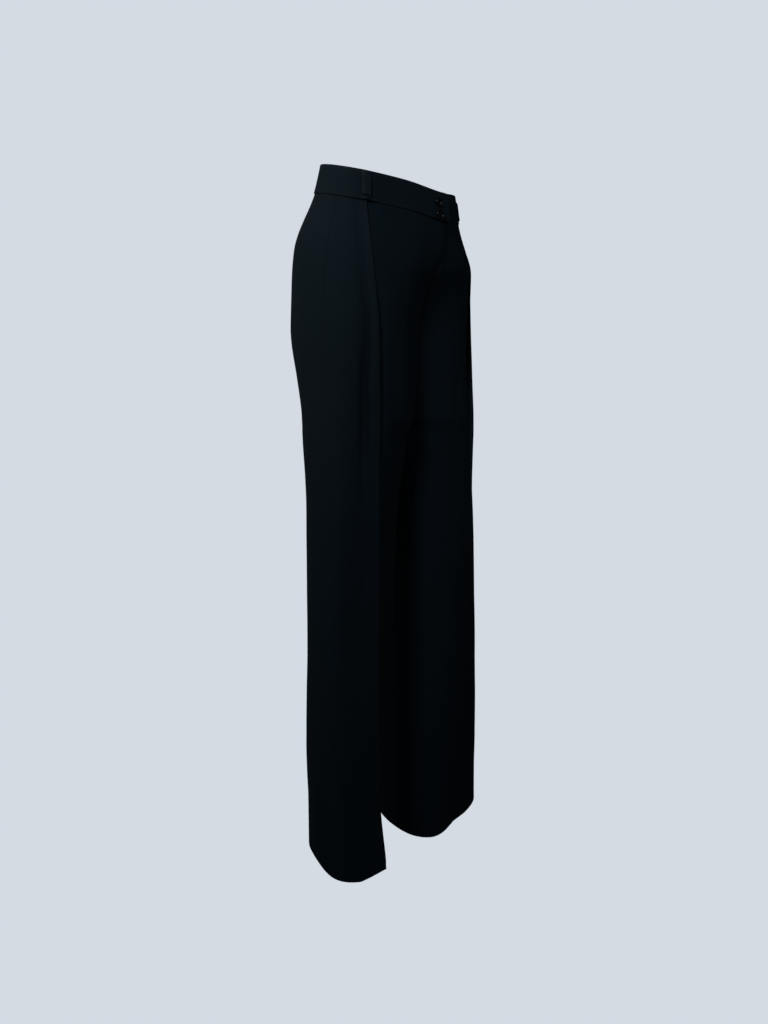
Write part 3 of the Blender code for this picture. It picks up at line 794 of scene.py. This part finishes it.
def turnedEdge(edge, way):
    # (places, outs) of a turned edge and its allowance, going past the panel in direction way
    radius = cloth["seamRadius"]
    places = edge - way * radius + way * radius * np.sin(curlAngles)
    outs = -radius * (1 - np.cos(curlAngles))
    back = edge - way * radius - way * cloth["seamAllowance"] * allowanceShares
    return np.r_[places, back], np.r_[outs, np.full(len(back), outs[-1])]


def flyWidthAt(z):
    if z < flyEdge["foot"]:
        return 0.0
    t = (cloth["bandFoot"] - z) / (cloth["bandFoot"] - flyEdge["foot"])
    return flyEdge["width"] * max(0.0, 1 - max(t, 0.0)) ** flyEdge["taper"]


def placesAlong(outline, places, outs, panel, z):
    # plan points; those past the middle of the front follow the other front, as the fly does
    points = outline.moved(np.maximum(places, 0.0), outs)
    normals = outline.outward(np.clip(places, 0.0, outline.length))
    over = places < 0
    if over.any() and panel == "frontRight":
        other, _, _ = frontOutline("left", z)
        points[over] = other.moved(-places[over], outs[over]) * (-1, 1)
        normals[over] = other.outward(-places[over]) * (-1, 1)
    return points, normals


def pressedAt(kind, distance, z):
    start, fade = pressing[kind]
    return np.exp(-((distance / pressing["width"]) ** 2)) * smooth((start - z) / fade)


def seamWear(places, *edges):
    return wearAndHighlightShares["seam"] * sum(np.exp(-np.abs(places - edge) / wearAndHighlightShares["seamWidth"]) for edge in edges)


def middleSink(fromMiddle, z):
    # how far back both fronts sink; fromMiddle is negative on the wearer's left
    _, deep, wide = atHeight(middleTable, z)
    return deep * np.exp(-(((fromMiddle + flyWidthAt(z)) / wide) ** 2))


def frontRow(side, z):
    panel = "front" + side.capitalize()
    outline, creaseAt, row = frontOutline(side, z)
    pleat = dict(zip(pleatColumns, atHeight(pleatTable, z)))
    bend = pleatBend(pleat)
    start = cloth["seamEdge"]
    last = outline.length - cloth["seamEdge"]
    radius = cloth["seamRadius"]
    flyWidth = flyWidthAt(z) if side == "right" else 0.0
    innerEdge = -flyWidth if flyWidth > 0 else start
    curlIn, curlInOut = turnedEdge(innerEdge, -1.0)
    curlOut, curlOutOut = turnedEdge(last, 1.0)

    before = spacedBetween(start + radius, creaseAt + bend[0, 0], 24, middleSteps)
    ramp = smooth((before - creaseAt + pleatShape["ramp"]) / pleatShape["ramp"])
    fade = smooth(before / folding["fromSeam"]) * (1 - ramp)
    beforeOut = bend[0, 1] * ramp + fade * broadFoldOut(panel, before / last, z)
    beforeOut += (smallCreaseOut(panel, before, z) + restlessOut(panel, before, z)) * fade
    beforeOut += puckerOut(before - start, z, 1.0)

    after = spacedBetween(creaseAt + bend[-1, 0], last - radius, 26)
    past = after - creaseAt - bend[-1, 0]
    stand = bend[-1, 1] * (1 - smooth(past / pleatShape["stand"]))
    shift = smooth((pleatShape["shiftFrom"] - z) / pleatShape["shiftFade"])
    hollowAt = pleatShape["trough"] + pleatShape["troughShift"] * shift
    hollow = pleat["hollow"] * np.exp(-(((past - hollowAt) / pleatShape["troughWidth"]) ** 2))
    fade = smooth(past / folding["pastPleat"]) * smooth((last - after) / folding["fromSeam"])
    afterOut = stand - hollow + fade * broadFoldOut(panel, after / last, z)
    fade = smooth(past / folding["smallPastPleat"]) * smooth((last - after) / folding["smallFromSeam"])
    afterOut += (smallCreaseOut(panel, after, z) + restlessOut(panel, after, z)) * fade
    afterOut += puckerOut(last - after, z, 2.0)

    overlap = np.linspace(innerEdge + radius, start + radius, 9)[:-1]
    if side == "left":
        overlap = overlap[:0]
    places = np.r_[curlIn[::-1], overlap, before, creaseAt + bend[1:-1, 0], after, curlOut]
    outs = np.r_[curlInOut[::-1], 0 * overlap, beforeOut, bend[1:-1, 1], afterOut, curlOutOut]
    pressed = pressedAt("front", places - creaseAt - bend[:, 0].mean(), z)
    outs = outs + cloth["creaseRidge"] * pressed
    if side == "right":
        lap = smooth((z - flyEdge["foot"]) / flyEdge["riseFade"]) * (1 - smooth(places / flyEdge["fade"]))
        outs = outs + flyEdge["rise"] * lap
    points, normals = placesAlong(outline, places, outs, panel, z)
    points = keptFromMiddle(points, row["a0"], places, innerEdge)
    points[:, 1] += middleSink(-signOf[side] * places, z)
    # lighter: wear at the seams, painted highlight along the pressed crease and the pleat's edge
    edge = np.exp(-(((places - creaseAt - bend[-1, 0]) / pleatShape["edgeHighlightWidth"]) ** 2))
    wearAndHighlight = seamWear(places, last, innerEdge) + wearAndHighlightShares["crease"] * np.maximum(pressed, edge)
    return points, normals, np.clip(wearAndHighlight, 0, 1)


def keptFromMiddle(points, heading, places, innerEdge):
    # a panel's inner edge stays clear of the other leg's, but for the lapping fly
    least = cloth["middleGap"] + cloth["middleHalf"] * abs(math.sin(math.radians(heading)))
    own = places >= 0 if innerEdge >= 0 else places > 0
    points[own, 0] = np.maximum(points[own, 0], least)
    return points


def backRow(side, z):
    panel = "back" + side.capitalize()
    outline, creaseAt, row = backOutline(side, z)
    start = cloth["seamEdge"]
    last = outline.length - cloth["seamEdge"]
    radius = cloth["seamRadius"]
    curlIn, curlInOut = turnedEdge(start, -1.0)
    curlOut, curlOutOut = turnedEdge(last, 1.0)
    inner = spacedBetween(start + radius, creaseAt - cloth["backBend"], 34)
    outer = spacedBetween(creaseAt + cloth["backBend"], last - radius, 28)
    main = np.r_[inner, outer]
    fade = smooth(main / folding["fromSeam"]) * smooth((last - main) / folding["fromSeam"])
    out = fade * broadFoldOut(panel, main / last, z)
    fade = smooth((main - start) / folding["smallFromSeam"])
    fade *= smooth((last - main) / folding["smallFromSeam"])
    out += fade * (smallCreaseOut(panel, main, z) + restlessOut(panel, main, z))
    out += puckerOut(main - start, z, 3.0) + puckerOut(last - main, z, 4.0)
    pressed = pressedAt("back", main - creaseAt, z)
    out += cloth["creaseRidge"] * pressed
    places = np.r_[curlIn[::-1], main, curlOut]
    outs = np.r_[curlInOut[::-1], out, curlOutOut]
    points, normals = placesAlong(outline, places, outs, panel, z)
    points = keptFromMiddle(points, row["a1"], places, start)
    wearAndHighlight = seamWear(places, last, start)
    # painted highlight along the pressed crease
    wearAndHighlight[len(curlIn):len(curlIn) + len(main)] += wearAndHighlightShares["crease"] * pressed
    return points, normals, np.clip(wearAndHighlight, 0, 1)


def panelLevels(side):
    top = cloth["bandFoot"] - cloth["waistGap"] - cloth["seamRadius"]
    foot = levelTables[side][-1, 0] + cloth["hemRadius"]
    fine = top - edgeSteps
    count = int((fine[-1] - foot - edgeSteps[-1]) / cloth["rowStep"])
    middle = np.linspace(fine[-1], foot + edgeSteps[-1], count + 2)[1:-1]
    return np.concatenate([fine, middle, foot + edgeSteps[::-1]])


def hemRows(grid, normals):
    # rows that turn a panel's hem under and run back up inside it
    radius, last, normal = cloth["hemRadius"], grid[-1], normals[-1]
    down = np.array([0, 0, -1.0])
    rows = [last - normal * radius * (1 - math.cos(a)) + down * radius * math.sin(a)
            for a in curlAngles]
    inside = []
    for k in range(len(grid) - 1, -1, -1):
        raised = (grid[k, :, 2] - last[:, 2]).mean()
        if raised > cloth["hemDepth"]:
            break
        if raised > cloth["hemClear"]:
            inside.append(grid[k] - normals[k] * 2 * radius)
    step = max(1, len(inside) // cloth["hemLines"])
    return np.array(rows + inside[step - 1::step])


def placedRow(row, side, z):
    # a row's points in the room, with the way out of the cloth, its worn places and its painted
    # highlights
    points, outward, wearAndHighlight = row(side, z)
    height = lifted(points[:, 0], points[:, 1], z)
    height += hemRise(side, points[:, 0], points[:, 1], z)
    sign = signOf[side]
    place = np.stack([sign * points[:, 0], points[:, 1], height], axis=1)
    return place, np.stack([sign * outward[:, 0], outward[:, 1], 0 * height], axis=1), wearAndHighlight


def waistRows(row, side, kind, top):
    # the waist's allowance, pressed up behind the waistband; the lapping fly only has a round lip
    first, normal, _ = placedRow(row, side, top)
    held = 1.0
    if kind == "front" and side == "right":
        held = smooth(-first[:, :1] / flyEdge["lipFade"])
    rows = []
    for k, (rise, inward) in enumerate(waistTuck):
        place, outward, _ = placedRow(row, side, top + rise)
        angle = math.pi * (k + 1) / len(waistTuck)
        lip = first - normal * cloth["seamRadius"] * (1 - math.cos(angle))
        lip[:, 2] += cloth["seamRadius"] * math.sin(angle)
        rows.append(lip * (1 - held) + (place - outward * inward) * held)
    return np.array(rows[::-1])


def panelGrid(side, kind):
    levels = panelLevels(side)
    row = frontRow if kind == "front" else backRow
    made = [placedRow(row, side, z) for z in levels]
    grid = np.array([m[0] for m in made])
    normals = np.array([m[1] for m in made])
    wearAndHighlight = np.array([m[2] for m in made])
    top = waistRows(row, side, kind, levels[0])
    hem = hemRows(grid, normals)
    edge = np.exp(-np.abs(levels - levels[-1]) / wearAndHighlightShares["hemWidth"])[:, None] * wearAndHighlightShares["hem"]
    wearAndHighlight = np.clip(wearAndHighlight + edge, 0, 1)
    wearAndHighlight = np.r_[np.zeros(top.shape[:2]), wearAndHighlight, np.full(hem.shape[:2], wearAndHighlightShares["hem"])]
    return np.concatenate([top, grid, hem]), wearAndHighlight


def gridSteps(grid):
    across = np.linalg.norm(np.diff(grid, axis=1), axis=2)
    return across, np.linalg.norm(np.diff(grid, axis=0), axis=2)


def pieceOf(name, grid, wearAndHighlight, outside, closed=False):
    # a grid of points as a piece of cloth, with its weave along the grid, its worn places and its painted
    # highlights
    rows, columns = grid.shape[:2]
    across, along = gridSteps(grid)
    u = np.concatenate([np.zeros((rows, 1)), np.cumsum(across, axis=1)], axis=1)
    u -= u[:, columns // 2][:, None]
    v = np.concatenate([np.zeros((1, columns)), np.cumsum(along, axis=0)], axis=0)
    points = grid.reshape(-1, 3)
    faces = []
    last = columns if closed else columns - 1
    for i in range(rows - 1):
        for j in range(last):
            a, b = i * columns + j, i * columns + (j + 1) % columns
            faces.append((a, b, b + columns, a + columns))
    middle = faces[len(faces) // 2]
    normal = np.cross(points[middle[1]] - points[middle[0]], points[middle[3]] - points[middle[0]])
    if normal.dot(outside(points[middle[0]])) < 0:
        faces = [face[::-1] for face in faces]
    piece = newPiece(name, points.tolist(), faces, blackCrepe)
    mesh = piece.data
    layer = mesh.uv_layers.new(name="cloth")
    index = np.empty(len(mesh.loops), np.int32)
    mesh.loops.foreach_get("vertex_index", index)
    layer.data.foreach_set("uv", np.stack([u.reshape(-1)[index], v.reshape(-1)[index]], 1).ravel())
    mesh.attributes.new("wearAndHighlight", "FLOAT", "POINT").data.foreach_set("value", wearAndHighlight.reshape(-1))
    reshape(mesh, joinDoubles)
    mesh.shade_smooth()
    return piece


def thicken(piece):
    solid = piece.modifiers.new("wall", "SOLIDIFY")
    solid.thickness = cloth["wall"]
    solid.offset = 0.0
    solid.use_even_offset = False


nodeOf = {
    "frontRight": ("front_right", "fly"),
    "frontLeft": ("front_left",),
    "backRight": ("back_right",),
    "backLeft": ("back_left",),
}


def buildPanels():
    for side in ("right", "left"):
        for kind in ("front", "back"):
            name = kind + side.capitalize()
            grid, wearAndHighlight = panelGrid(side, kind)
            axis = np.array([signOf[side] * 0.09, 0.0, 0.0])

            def outside(point):
                return (point - axis) * (1, 1, 0)

            piece = pieceOf(name, grid, wearAndHighlight, outside)
            thicken(piece)
            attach(piece, "root")
            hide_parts(*nodeOf[name])
            print(name, "is sewn,", len(piece.data.polygons), "faces")


buildPanels()

# waistband

band = {
    "wall": 0.0024,
    "lap": 0.016,             # right end that laps over the left
    "lapClear": 0.0031,
    "lapFade": 0.058,         # length over which it comes down again
    "corner": 0.0045,         # rounding of the lapping end
    "step": 0.003,
    "firstStep": 0.0075,      # from the front end to the first even place
    "lastStep": 0.002,
    "endStep": 0.0008,
    "endRound": 0.0012,
    "endShare": 0.6,          # how thick the back end is
    "inset": 0.0006,          # of its inner face behind the outline
    "seam": 0.00003,          # from each half's end to the middle of the back
    "ripple": 0.00012,
    "wearAndHighlight": 0.1,
    "edgeWearAndHighlight": 0.5,           # painted highlight and wear along its top and foot
}


def bandOutline(side, z):
    front, _, _ = frontOutline(side, z)
    back, _, _ = backOutline(side, z)
    return Outline(np.concatenate([front.points, back.points[::-1]]))


def lapRaise(s):
    return band["lapClear"] * (1 - smooth((s + 0.5 * band["lap"]) / band["lapFade"]))


def bandProfile(half, thick):
    # (height, out) round the band's section, up its outside and down its inside
    middle = band["wall"] / 2 - band["inset"]
    radius = thick / 2
    turns = np.linspace(0, math.pi, 7)
    straight = np.linspace(-1, 1, 9)[1:-1] * (half - radius)
    outer = [(z, middle + radius) for z in straight]
    top = [((half - radius) + radius * math.sin(a), middle + radius * math.cos(a)) for a in turns]
    inner = [(z, middle - radius) for z in straight[::-1]]
    foot = [(-(half - radius) - radius * math.sin(a), middle - radius * math.cos(a)) for a in turns]
    return outer + top + inner + foot


def bandGrid(side):
    half = (cloth["bandTop"] - cloth["bandFoot"]) / 2
    lapped = side == "right"
    start = -band["lap"] if lapped else cloth["seamGap"] / 2
    end = bandOutline(side, 0.0).length - band["seam"]
    ease = np.array([0, 0.06, 0.2, 0.42, 0.7, 1.0]) * band["corner"]
    even = np.arange(start + band["firstStep"], end - band["lastStep"], band["step"])
    places = np.r_[start + ease, even, end - band["endStep"], end]
    grid = np.empty((len(places), len(bandProfile(half, band["wall"])), 3))
    outlines = {}
    for i, place in enumerate(places):
        fromEnd = place - start
        thick, high = band["wall"], half
        if fromEnd < band["endRound"]:
            thick *= max(0.15, math.sqrt(1 - (1 - fromEnd / band["endRound"]) ** 2))
        if lapped and fromEnd < band["corner"]:
            rounding = 1 - fromEnd / band["corner"]
            high -= band["corner"] * (1 - math.sqrt(max(0.0, 1 - rounding**2)))
        if place == end:
            thick *= band["endShare"]
        for j, (z, out) in enumerate(bandProfile(high, thick)):
            key = round(z, 6)
            if key not in outlines:
                outlines[key] = bandOutline(side, z)
            outline = outlines[key]
            share = (place - start) / (end - start)
            s = start + share * (outline.length - band["seam"] - start)
            if lapped:
                out += lapRaise(s)
            if abs(z) < half * 0.9:
                out += band["ripple"] * math.sin(170 * s + 40 * z)
            x, y = outline.moved(s, out)
            grid[i, j] = (signOf[side] * x, y, lifted(x, y, z))
    return grid


def closeEnds(piece):
    reshape(piece.data, fillHoles, turnFacesOut)
    piece.data.shade_smooth()


def buildBand():
    for side in ("right", "left"):
        name = "waistband" + side.capitalize()
        grid = bandGrid(side)
        wearAndHighlight = np.full(grid.shape[:2], band["wearAndHighlight"])
        profile = bandProfile((cloth["bandTop"] - cloth["bandFoot"]) / 2, band["wall"])
        # painted highlight and wear along the band's top and foot
        for j, (z, _) in enumerate(profile):
            wearAndHighlight[:, j] += band["edgeWearAndHighlight"] * math.exp(-abs(abs(z) - cloth["bandTop"]) / wearAndHighlightShares["seamWidth"])
        piece = pieceOf(name, grid, wearAndHighlight, lambda p: p * (1, 1, 0), closed=True)
        closeEnds(piece)
        length = bandOutline(side, 0.0).length + (band["lap"] if side == "right" else 0)
        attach(piece, "root")
        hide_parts("waistband_" + side)
    print("waistband is sewn")


buildBand()

# belt loops

loops = {
    "width": 0.011,
    "wall": 0.0014,
    "rise": 0.0030,           # stand-off between the sewn ends
    "half": 0.0205,           # half its length
    "flatFrom": 0.0180,       # height where the sewn ends start, and how fast it comes down to them
    "flatFade": 0.0062,
    "clear": 0.0003,          # to the waistband
    "cup": 0.0002,            # its middle stands up across it
    "rows": 33,
    "endShare": 0.45,         # how thick its ends are
    "wearAndHighlight": 0.15,
    "edgeWearAndHighlight": 0.3,
    "fromMiddle": 0.050,      # the two back loops
}


def bandPoint(side, s, z, out):
    outline = bandOutline(side, z)
    x, y = outline.moved(s, band["wall"] - band["inset"] + out)
    normal = outline.outward(np.clip(s, 0.0, outline.length))
    point = np.array([signOf[side] * x, y, lifted(x, y, z)])
    return point, np.array([signOf[side] * normal[0], normal[1], 0.0])


def creasePlace(side):
    return lambda z: frontOutline(side, z)[1]


def backPlace(side, fromMiddle):
    return lambda z: bandOutline(side, z).length - fromMiddle


def loopRise(aside, z):
    # sewn flat at both ends, standing off between them, and cupped across
    between = smooth((loops["flatFrom"] - abs(z)) / loops["flatFade"])
    return between * loops["rise"] + loops["cup"] * (1 - (2 * aside / loops["width"]) ** 2)


def buildLoop(name, node, side, place):
    half, radius = loops["width"] / 2, loops["wall"] / 2
    turns = np.linspace(-math.pi / 2, math.pi / 2, 5)
    section = [(half - radius + radius * math.cos(a), radius * math.sin(a)) for a in turns]
    section = [(-w, out) for w, out in section[::-1]][::-1] + section[::-1]
    heights = np.linspace(-loops["half"], loops["half"], loops["rows"])
    grid = np.empty((len(heights), len(section), 3))
    for i, z in enumerate(heights):
        thin = loops["endShare"] if i in (0, len(heights) - 1) else 1.0
        for j, (aside, out) in enumerate(section):
            base = loops["clear"] + radius + loopRise(aside, z)
            grid[i, j] = bandPoint(side, place(z) + aside, z, base + out * thin)[0]
    outwardAt = bandPoint(side, place(0.0), 0.0, 0.0)[1]
    wearAndHighlight = np.full(grid.shape[:2], loops["wearAndHighlight"])
    # painted highlight and wear along the loop's edges
    wearAndHighlight[:, [0, -1, len(section) // 2, len(section) // 2 - 1]] += loops["edgeWearAndHighlight"]
    piece = pieceOf(name, grid, wearAndHighlight, lambda p: outwardAt, closed=True)
    closeEnds(piece)
    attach(piece, "root")
    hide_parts(node)


def buildLoops():
    plan = [("beltLoopCentreBack", "belt_loop_centre_back", "right", backPlace("right", 0.0))]
    for side in ("right", "left"):
        end = side.capitalize()
        plan.append(("beltLoopFront" + end, "belt_loop_front_" + side, side, creasePlace(side)))
        away = backPlace(side, loops["fromMiddle"])
        plan.append(("beltLoopBack" + end, "belt_loop_back_" + side, side, away))
    for name, node, side, place in plan:
        buildLoop(name, node, side, place)
    print("belt loops are sewn")
    return plan


loopPlan = buildLoops()

# buttons

buttons = {
    "lower": {"node": "button_lower", "radius": 0.0075, "height": -0.0140},
    "upper": {"node": "button_upper", "radius": 0.0065, "height": 0.0045},
}
buttonShape = {
    "place": 0.0115,          # from the middle of the front, towards the wearer's right
    "seat": 0.0005,
    "sides": 64,
    "holes": 4,
    "holeRadius": 0.0009,
    "holeRing": 0.0019,
    "sharp": 50,              # degrees from which an edge shows
    # share of the radius and height above the band, from the back's middle to the front's middle
    "profile": [(0.20, 0.0), (0.70, 0.0001), (0.90, 0.0004), (0.97, 0.0008), (1.0, 0.0013),
                (1.0, 0.0020), (0.98, 0.0026), (0.94, 0.0030), (0.88, 0.0031), (0.82, 0.0030),
                (0.77, 0.0026), (0.72, 0.0022), (0.66, 0.0020), (0.50, 0.0019), (0.25, 0.0019)],
}


def buttonSeat(radius, height):
    places = [buttonShape["place"] + turn * radius for turn in (-1, 0, 1)]
    edge, foot, far = [bandPoint("right", s, height, lapRaise(s))[0] for s in places]
    aside = edge - far
    aside /= np.linalg.norm(aside)
    normal = np.cross(aside, (0.0, 0.0, 1.0))
    normal /= np.linalg.norm(normal)
    foot = foot + normal * buttonShape["seat"]
    columns = [np.cross((0.0, 0.0, 1.0), normal), (0.0, 0.0, 1.0), normal]
    return Matrix([(*(c[k] for c in columns), foot[k]) for k in range(3)] + [(0, 0, 0, 1)])


def buildButton(key):
    spec = buttons[key]
    radius, sides = spec["radius"], buttonShape["sides"]
    points = []
    for share, out in buttonShape["profile"]:
        for k in range(sides):
            angle = 2 * math.pi * k / sides
            points.append((math.cos(angle) * radius * share, math.sin(angle) * radius * share, out))
    faces = ringFaces(len(buttonShape["profile"]), sides)
    button = newPiece("button" + key.capitalize(), points, faces, buttonGloss)
    cutHoles(button)
    button.matrix_world = buttonSeat(radius, spec["height"])
    button.data.shade_smooth()
    button.data.set_sharp_from_angle(angle=math.radians(buttonShape["sharp"]))
    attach(button, "root")
    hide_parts(spec["node"])


def holePlaces():
    ring = buttonShape["holeRing"]
    turns = [math.pi / 4 + k * math.pi / 2 for k in range(buttonShape["holes"])]
    return [(ring * math.cos(a), ring * math.sin(a)) for a in turns]


def cutHoles(button):
    drills = bmesh.new()
    for x, y in holePlaces():
        bmesh.ops.create_cone(drills, cap_ends=True, segments=16, radius1=buttonShape["holeRadius"],
                              radius2=buttonShape["holeRadius"], depth=0.008,
                              matrix=Matrix.Translation((x, y, 0.001)))
    drill = newPiece("drills", [], [])
    drills.to_mesh(drill.data)
    drills.free()
    cut = button.modifiers.new("holes", "BOOLEAN")
    cut.operation = "DIFFERENCE"
    cut.solver = "EXACT"
    cut.object = drill
    bpy.context.view_layer.update()
    graph = bpy.context.evaluated_depsgraph_get()
    button.data = bpy.data.meshes.new_from_object(button.evaluated_get(graph))
    button.modifiers.clear()
    bpy.data.objects.remove(drill)


def threadAlong(name, paths, radius, sides=6):
    # tubes along short paths, as one mesh
    points, faces = [], []
    for path in paths:
        path = np.array(path, float)
        base = len(points)
        ways = np.gradient(path, axis=0)
        ways /= np.linalg.norm(ways, axis=1, keepdims=True)
        aside = np.cross(ways[len(ways) // 2], (0.31, 0.52, 0.79))
        aside /= np.linalg.norm(aside)
        for k, (point, way) in enumerate(zip(path, ways)):
            up = np.cross(way, aside)
            up /= np.linalg.norm(up)
            side = np.cross(up, way)
            thin = 0.55 if k in (0, len(path) - 1) else 1.0
            for j in range(sides):
                angle = 2 * math.pi * j / sides
                points.append(point + (side * math.cos(angle) + up * math.sin(angle)) * radius * thin)
        faces += ringFaces(len(path), sides, base)
    piece = newPiece(name, [tuple(p) for p in points], faces, blackThread)
    reshape(piece.data, turnFacesOut)
    piece.data.shade_smooth()
    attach(piece, "root")


buttonThread = {
    "radius": 0.00017,
    "apart": 0.00018,         # the second turn beside the first
    # share of the way between two holes, and height
    "bow": [(0.0, 0.0012), (0.08, 0.0019), (0.3, 0.00225), (0.5, 0.0023),
            (0.7, 0.00225), (0.92, 0.0019), (1.0, 0.0012)],
}


def buildButtons():
    for key, spec in buttons.items():
        buildButton(key)
        seat = np.array(buttonSeat(spec["radius"], spec["height"]))
        places = holePlaces()
        paths = []
        for a, b in ((0, 1), (2, 3)):
            (x0, y0), (x1, y1) = places[a], places[b]
            for lift in (0.0, buttonThread["apart"]):
                path = [(x0 + t * (x1 - x0) + lift, y0 + t * (y1 - y0), z + lift)
                        for t, z in buttonThread["bow"]]
                paths.append([seat[:3, :3] @ np.array(p) + seat[:3, 3] for p in path])
        threadAlong("threadButton" + key.capitalize(), paths, buttonThread["radius"])
    print("buttons are sewn on")


buildButtons()

# stitches

stitch = {
    "length": 0.0023,
    "gap": 0.0008,
    "radius": 0.00013,
    "inset": 0.0016,          # from a loop's edge
    "fromEnd": 0.0006,        # from a loop's end to the line
    "start": 0.0004,          # from the line's end to the first stitch
    # share of a stitch's length, and how far it stands out of the cloth there
    "bow": [(0.0, -0.0001), (0.15, 0.00008), (0.5, 0.00012), (0.85, 0.00008), (1.0, -0.0001)],
}
# the zigzag bars that hold a loop's ends: two beside each other
barTack = {
    "fromEnd": 0.0016,
    "apart": 0.0004,
    "half": 0.42,             # share of the loop's width
    "turns": 9,
    "zigzag": 0.00025,
    "above": 0.0001,
}


def stitchRun(pointAt, length):
    # stitches along a line: pointAt gives the place and the outward way at a distance
    paths = []
    at = stitch["start"]
    while at + stitch["length"] < length:
        path = []
        for share, lift in stitch["bow"]:
            point, outward = pointAt(at + share * stitch["length"])
            path.append(point + outward * lift)
        paths.append(path)
        at += stitch["length"] + stitch["gap"]
    return paths


def buildStitches():
    paths = []
    for _, _, side, place in loopPlan:
        top = loops["wall"] + loops["clear"]
        for edge in (-1, 1):
            aside = edge * (loops["width"] / 2 - stitch["inset"])

            def pointAt(distance):
                z = loops["half"] - stitch["fromEnd"] - distance
                return bandPoint(side, place(z) + aside, z, top + loopRise(aside, z))

            paths += stitchRun(pointAt, 2 * (loops["half"] - stitch["fromEnd"]))
        for end in (1, -1):
            for row in (-1, 1):
                height = end * (loops["half"] - barTack["fromEnd"]) + row * barTack["apart"]
                bar = []
                for share in np.linspace(-barTack["half"], barTack["half"], barTack["turns"]):
                    zigzag = barTack["zigzag"] * (1 if len(bar) % 2 else -1)
                    s = place(height) + share * loops["width"]
                    bar.append(bandPoint(side, s, height + zigzag, top + barTack["above"])[0])
                paths.append(bar)
    threadAlong("threadLoops", paths, stitch["radius"], sides=5)
    print(len(paths), "stitches are sewn")


buildStitches()

# finish

print("the scene is built")
